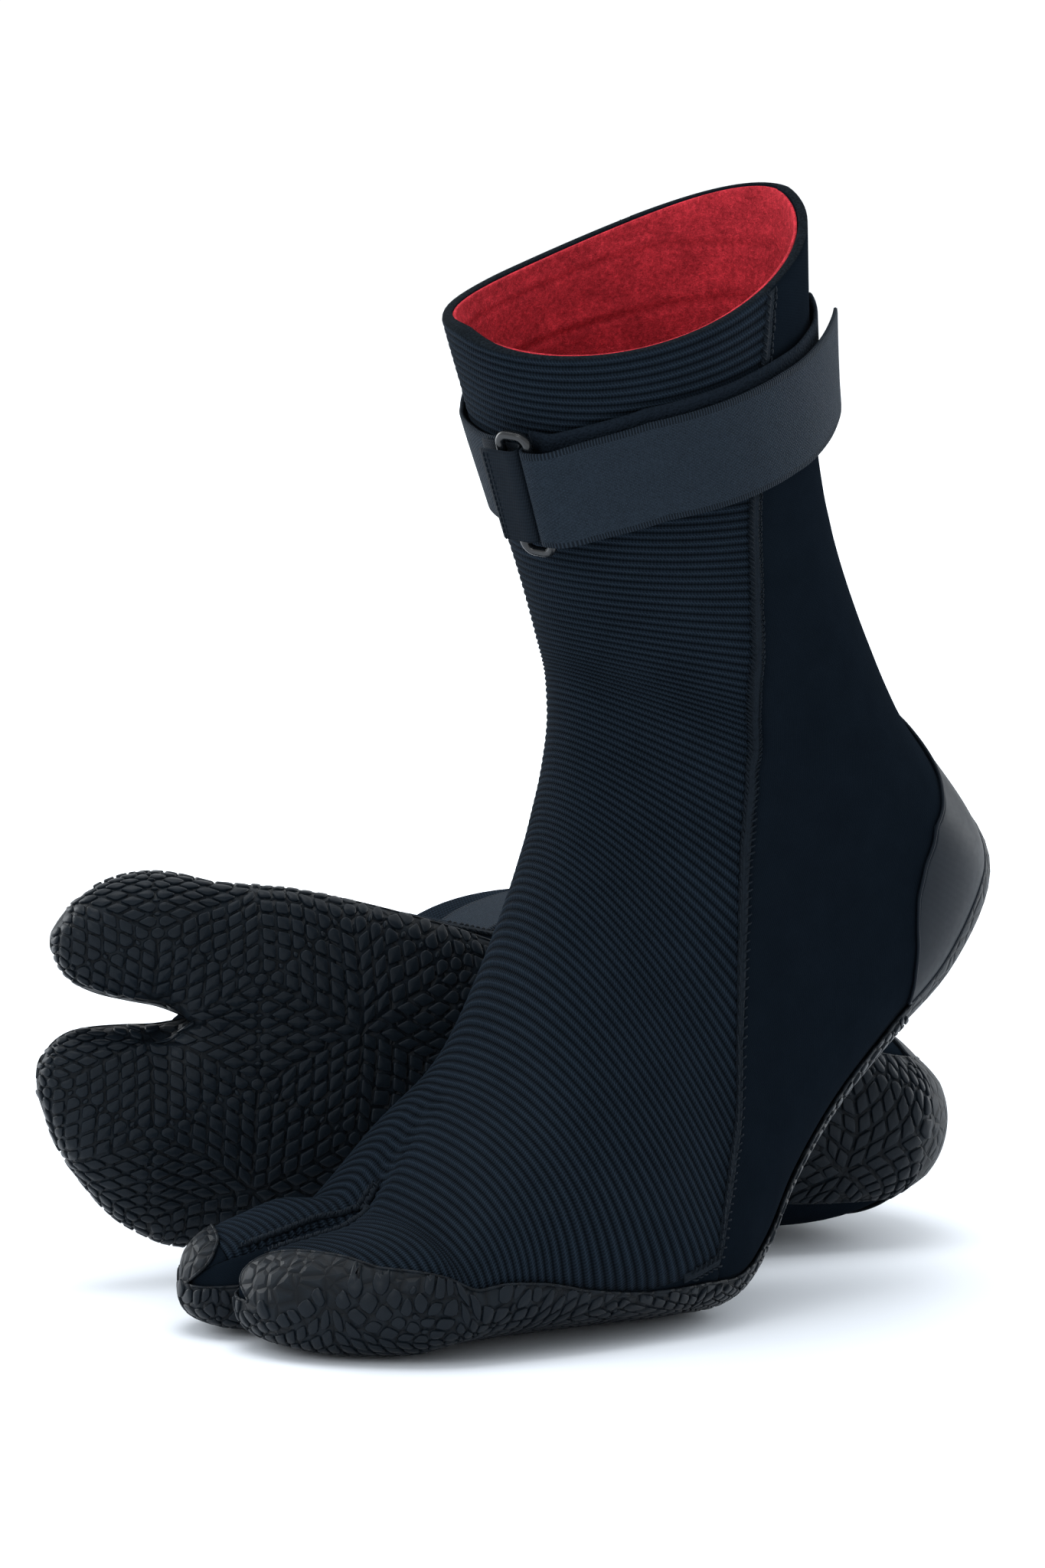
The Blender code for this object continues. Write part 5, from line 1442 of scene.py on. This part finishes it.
def make_tread(atlas):
    """Every pad as points on the atlas: (faces of three vertices, weights, offset height, fade, uv) and its triangles."""
    verts, weights, heights, uvs, tris, inward = [], [], [], [], [], []
    count = 0
    levels = ((-.35, 0.0), (.40, .03), (.64, .17), (.75, .42))
    for q, groove in tread_cells():
        c = q.mean(0)
        best = None
        for other in ("flat", "L", "M"):
            hit = atlas.find(other, c)
            if hit is not None:
                inside = sum(atlas.find(other, x) is not None for x in q)
                if best is None or inside > best[0]:
                    best = (inside, other, hit)
        if best is None:
            continue
        _, name, hit = best
        high = float(np.dot(atlas.up[hit[0]], hit[1]))
        loose = float(np.clip((high - 5.5) / 6, 0, 1))
        # on the flanks the cells turn into uneven scales
        key = np.round(q * 4).astype(int)
        moved = q.copy()
        if loose > 0:
            for k in range(len(q)):
                jx = ripple(np.array([q[k][0] / 3.3]), np.array([q[k][1] / 3.3]), 51)[0]
                jy = ripple(np.array([q[k][0] / 3.3]), np.array([q[k][1] / 3.3]), 52)[0]
                moved[k] = q[k] + np.array([jx, jy]) * .8 * loose
        ring = inset_outline(moved, groove, .75 + .7 * loose)
        area = .5 * abs(np.sum(ring[:, 0] * np.roll(ring[:, 1], -1) - np.roll(ring[:, 0], -1) * ring[:, 1]))
        if area < 1.2:
            continue
        c = ring.mean(0)
        far = np.linalg.norm(ring - c, axis=1).mean()
        points, ok = [], 0
        for height, pull in levels:
            r = ring + (c - ring) * min(pull / max(far, .4), .6) * 1.0
            for x in r:
                points.append((x, height))
        points.append((c, .79))
        found = []
        bad = 0
        for x, height in points:
            hit = None
            for back in (0, .3, .6, .85):
                hit = atlas.find(name, x + (c - x) * back)
                if hit is not None:
                    break
                bad += 1
            if hit is None:
                break
            found.append((hit, x, height))
        if len(found) < len(points) or bad > len(points) * 2.2:
            continue
        real = np.array([hit[1] @ atlas.at[hit[0]] for hit, _, _ in found])
        if np.linalg.norm(real - real.mean(0), axis=1).max() > 2.3 * far + 1.5:
            continue
        fade = float(np.clip(np.dot(atlas.sheet.fade[found[-1][0][0]], found[-1][0][1]) / 2.4, .45, 1))
        for hit, x, height in found:
            verts.append(hit[0])
            weights.append(hit[1])
            heights.append(height if height < 0 else height * fade)
            uvs.append(x)
        k = len(ring)
        for level in range(len(levels) - 1):
            for i in range(k):
                a, b = count + level * k + i, count + level * k + (i + 1) % k
                tris += [(a, b, b + k), (a, b + k, a + k)]
        top = count + (len(levels) - 1) * k
        for i in range(k):
            tris.append((top + i, top + (i + 1) % k, count + len(points) - 1))
        count += len(points)
    print("pads", len(heights), "points", len(tris), "triangles")
    return np.array(verts), np.array(weights), np.array(heights), np.array(uvs), np.array(tris)


def lay_tread(atlas, pads, boot, sheet, p, n, h):
    verts, weights, heights, uvs, tris = pads
    index = sheet.index
    take = lambda a: (a[index][verts] * (weights[..., None] if a.ndim == 2 else weights)).sum(1)
    P, N, H = take(p), take(n), take(h)
    N /= np.maximum(np.linalg.norm(N, axis=1), 1e-9)[:, None]
    points = P + N * (GAP + H - TREAD + heights)[:, None]
    return points, tris, uvs


def rubber(prefix, boot, M, atlas, pads):
    """The outsole with its pads, and the heel counter."""
    sheet = outsole_sheet(boot, atlas.rows)
    p, uv, h, tris = sheet.done()
    n = vertex_normals(p, tris) * boot.turn
    if boot.turn < 0:
        tris = tris[:, ::-1]
    h = np.where(h < RUBBER_SIDE, RUBBER_SIDE, h)
    points, faces, uvs = shell(p, n, uv, tris, GAP, GAP + h - TREAD, 0.0, 2, .1)
    parts = [(points, faces, uvs)] + lip(p, n, uv, border_of(tris, len(p)), h)
    piece(prefix + "outsole_base", parts, boot.placed, [M["scales"]], boot.body_name, nodes=[prefix + "outsole"],
          ground=boot.flat)
    points, faces, uvs = lay_tread(atlas, pads, boot, sheet, p, n, h)
    # pads are open below; their faces keep the order they were built in
    a = points[faces]
    normal = np.cross(a[:, 1] - a[:, 0], a[:, 2] - a[:, 0])
    PAD_TURN = 1
    piece(prefix + "outsole_pads", [(points, faces, uvs)], boot.placed, [M["rubber"]], boot.body_name,
          ground=boot.flat, keep=True)
    # heel counter
    sheet = Sheet()
    s = np.r_[boot.stations(8.3, 10.3, 1.3), boot.stations(10.3, 10.95, .6)[1:]]
    for side in (1, -1):
        boot.patch(sheet, side, s, line_b, lambda x: np.minimum(line_c(x) - .002, 1), 22)
    p, uv, h, tris = sheet.done()
    n = vertex_normals(p, tris) * boot.turn
    if boot.turn < 0:
        tris = tris[:, ::-1]
    points, faces, uvs = shell(p, n, uv, tris, .02, GAP + COUNTER * .55, 0.0, 4, 0.0)
    edges = border_of(tris, len(p))
    piece(prefix + "heel_counter_moulded", [(points, faces, uvs)] + lip(p, n, uv, edges, np.full(len(p), .62), .48, .12),
          boot.placed, [M["heel"]], boot.body_name, nodes=[prefix + "heel_counter"])


def build_boot(prefix, body, lean, placed, M, flat):
    boot = Skin(prefix, body, lean, placed, flat)
    boot.flat = flat
    boot.under_shift = 3.2
    sheet = Sheet()
    for side in (1, -1):
        boot.patch(sheet, side, np.linspace(0, 16, 40), constant(0), constant(1), 12)
        boot.lobe_patch(sheet, side, np.linspace(0, 1, 6), constant(0), constant(1), 12)
    p, uv, h, tris = sheet.done()
    boot.turn = 1 if vertex_normals(p, tris)[np.argmax(p[:, 0])][0] > 0 else -1
    return boot


# ---- the stage --------------------------------------------------------------
def stage():
    scene = bpy.context.scene
    scene.view_settings.view_transform = "Standard"
    scene.view_settings.look = "None"
    world = scene.world or bpy.data.worlds.new("World")
    scene.world = world
    world.use_nodes = True
    back = world.node_tree.nodes.get("Background") or world.node_tree.nodes.new("ShaderNodeBackground")
    back.inputs[0].default_value = (.94, .97, 1, 1)
    back.inputs[1].default_value = 1.1
    mesh = bpy.data.meshes.new("floor")
    r = 6.0
    mesh.from_pydata([(-r, -r, 0), (r, -r, 0), (r, r, 0), (-r, r, 0)], [], [(0, 1, 2, 3)])
    floor = bpy.data.objects.new("floor", mesh)
    floor.location.z = -.0002
    scene.collection.objects.link(floor)
    m = bpy.data.materials.new("floor_paper_painted_glow")
    m.use_nodes = True
    b = m.node_tree.nodes["Principled BSDF"]
    b.inputs["Base Color"].default_value = (.86, .90, .95, 1)
    b.inputs["Roughness"].default_value = .5
    b.inputs["Specular IOR Level"].default_value = .25
    tree = m.node_tree
    # painted light: the floor's emission rises with distance from the origin, so the floor far off glows as bright as
    # the backdrop while the floor near the boots stays darker
    where = tree.nodes.new("ShaderNodeTexCoord").outputs["Object"]
    length = tree.nodes.new("ShaderNodeVectorMath")
    length.operation = "LENGTH"
    tree.links.new(where, length.inputs[0])
    far = tree.nodes.new("ShaderNodeMapRange")
    far.interpolation_type = "SMOOTHSTEP"
    tree.links.new(length.outputs["Value"], far.inputs[0])
    for key, value in (("From Min", .28), ("From Max", 1.1), ("To Min", 0.0), ("To Max", .55)):
        far.inputs[key].default_value = value
    tree.links.new(far.outputs[0], b.inputs["Emission Strength"])
    b.inputs["Emission Color"].default_value = (1, 1, 1, 1)
    mesh.materials.append(m)

    def soft(name, at, to, size, power, colour=(1, 1, 1), tall=None):
        light = bpy.data.lights.new(name, "AREA")
        light.shape = "RECTANGLE"
        light.size, light.size_y = size, tall or size
        light.energy = power
        light.color = colour
        obj = bpy.data.objects.new(name, light)
        obj.location = at
        obj.rotation_euler = (Vector(to) - Vector(at)).to_track_quat("-Z", "Y").to_euler()
        obj.visible_camera = False
        scene.collection.objects.link(obj)

    soft("overhead", (-.1, -.1, 1.5), (0, -.02, .1), 1.1, 13, (.97, .985, 1))
    soft("rim_left", (-1.1, .75, .55), (0, 0, .18), .5, 9, (.93, .97, 1), .9)
    soft("rim_right", (1.15, .65, .5), (0, 0, .18), .5, 8, (.93, .97, 1), .9)
    soft("front_left", (-.9, -1.2, .75), (0, -.05, .12), .6, 4.5, (.96, .98, 1))
    camera = bpy.data.cameras.new("camera")
    camera.sensor_fit = "VERTICAL"
    camera.sensor_width, camera.sensor_height = 24.0, 36.0
    camera.lens = 150.0
    camera.clip_start, camera.clip_end = .05, 50
    obj = bpy.data.objects.new("camera", camera)
    target = Vector((ORIGIN_SHIFT[0], 60 + ORIGIN_SHIFT[1], 147)) / 1000
    rise = radians(6.0)
    obj.location = target + Vector((0, -cos(rise), sin(rise))) * 1.8
    obj.rotation_euler = (target - obj.location).to_track_quat("-Z", "Y").to_euler()
    scene.collection.objects.link(obj)
    scene.camera = obj


def main():
    M = finishes()
    left = build_boot("left_", TIPTOE, LEAN, standing, M, True)
    right = build_boot("right_", NEUTRAL, STRAIGHT, lying, M, False)
    atlas = Atlas(right)
    pads = make_tread(atlas)
    for prefix, boot in (("left_", left), ("right_", right)):
        cuff_and_foot(prefix, boot, M)
        rubber(prefix, boot, M, atlas, pads)
        strap_set(prefix, boot, M)
    stage()
    bpy.context.view_layer.update()


main()
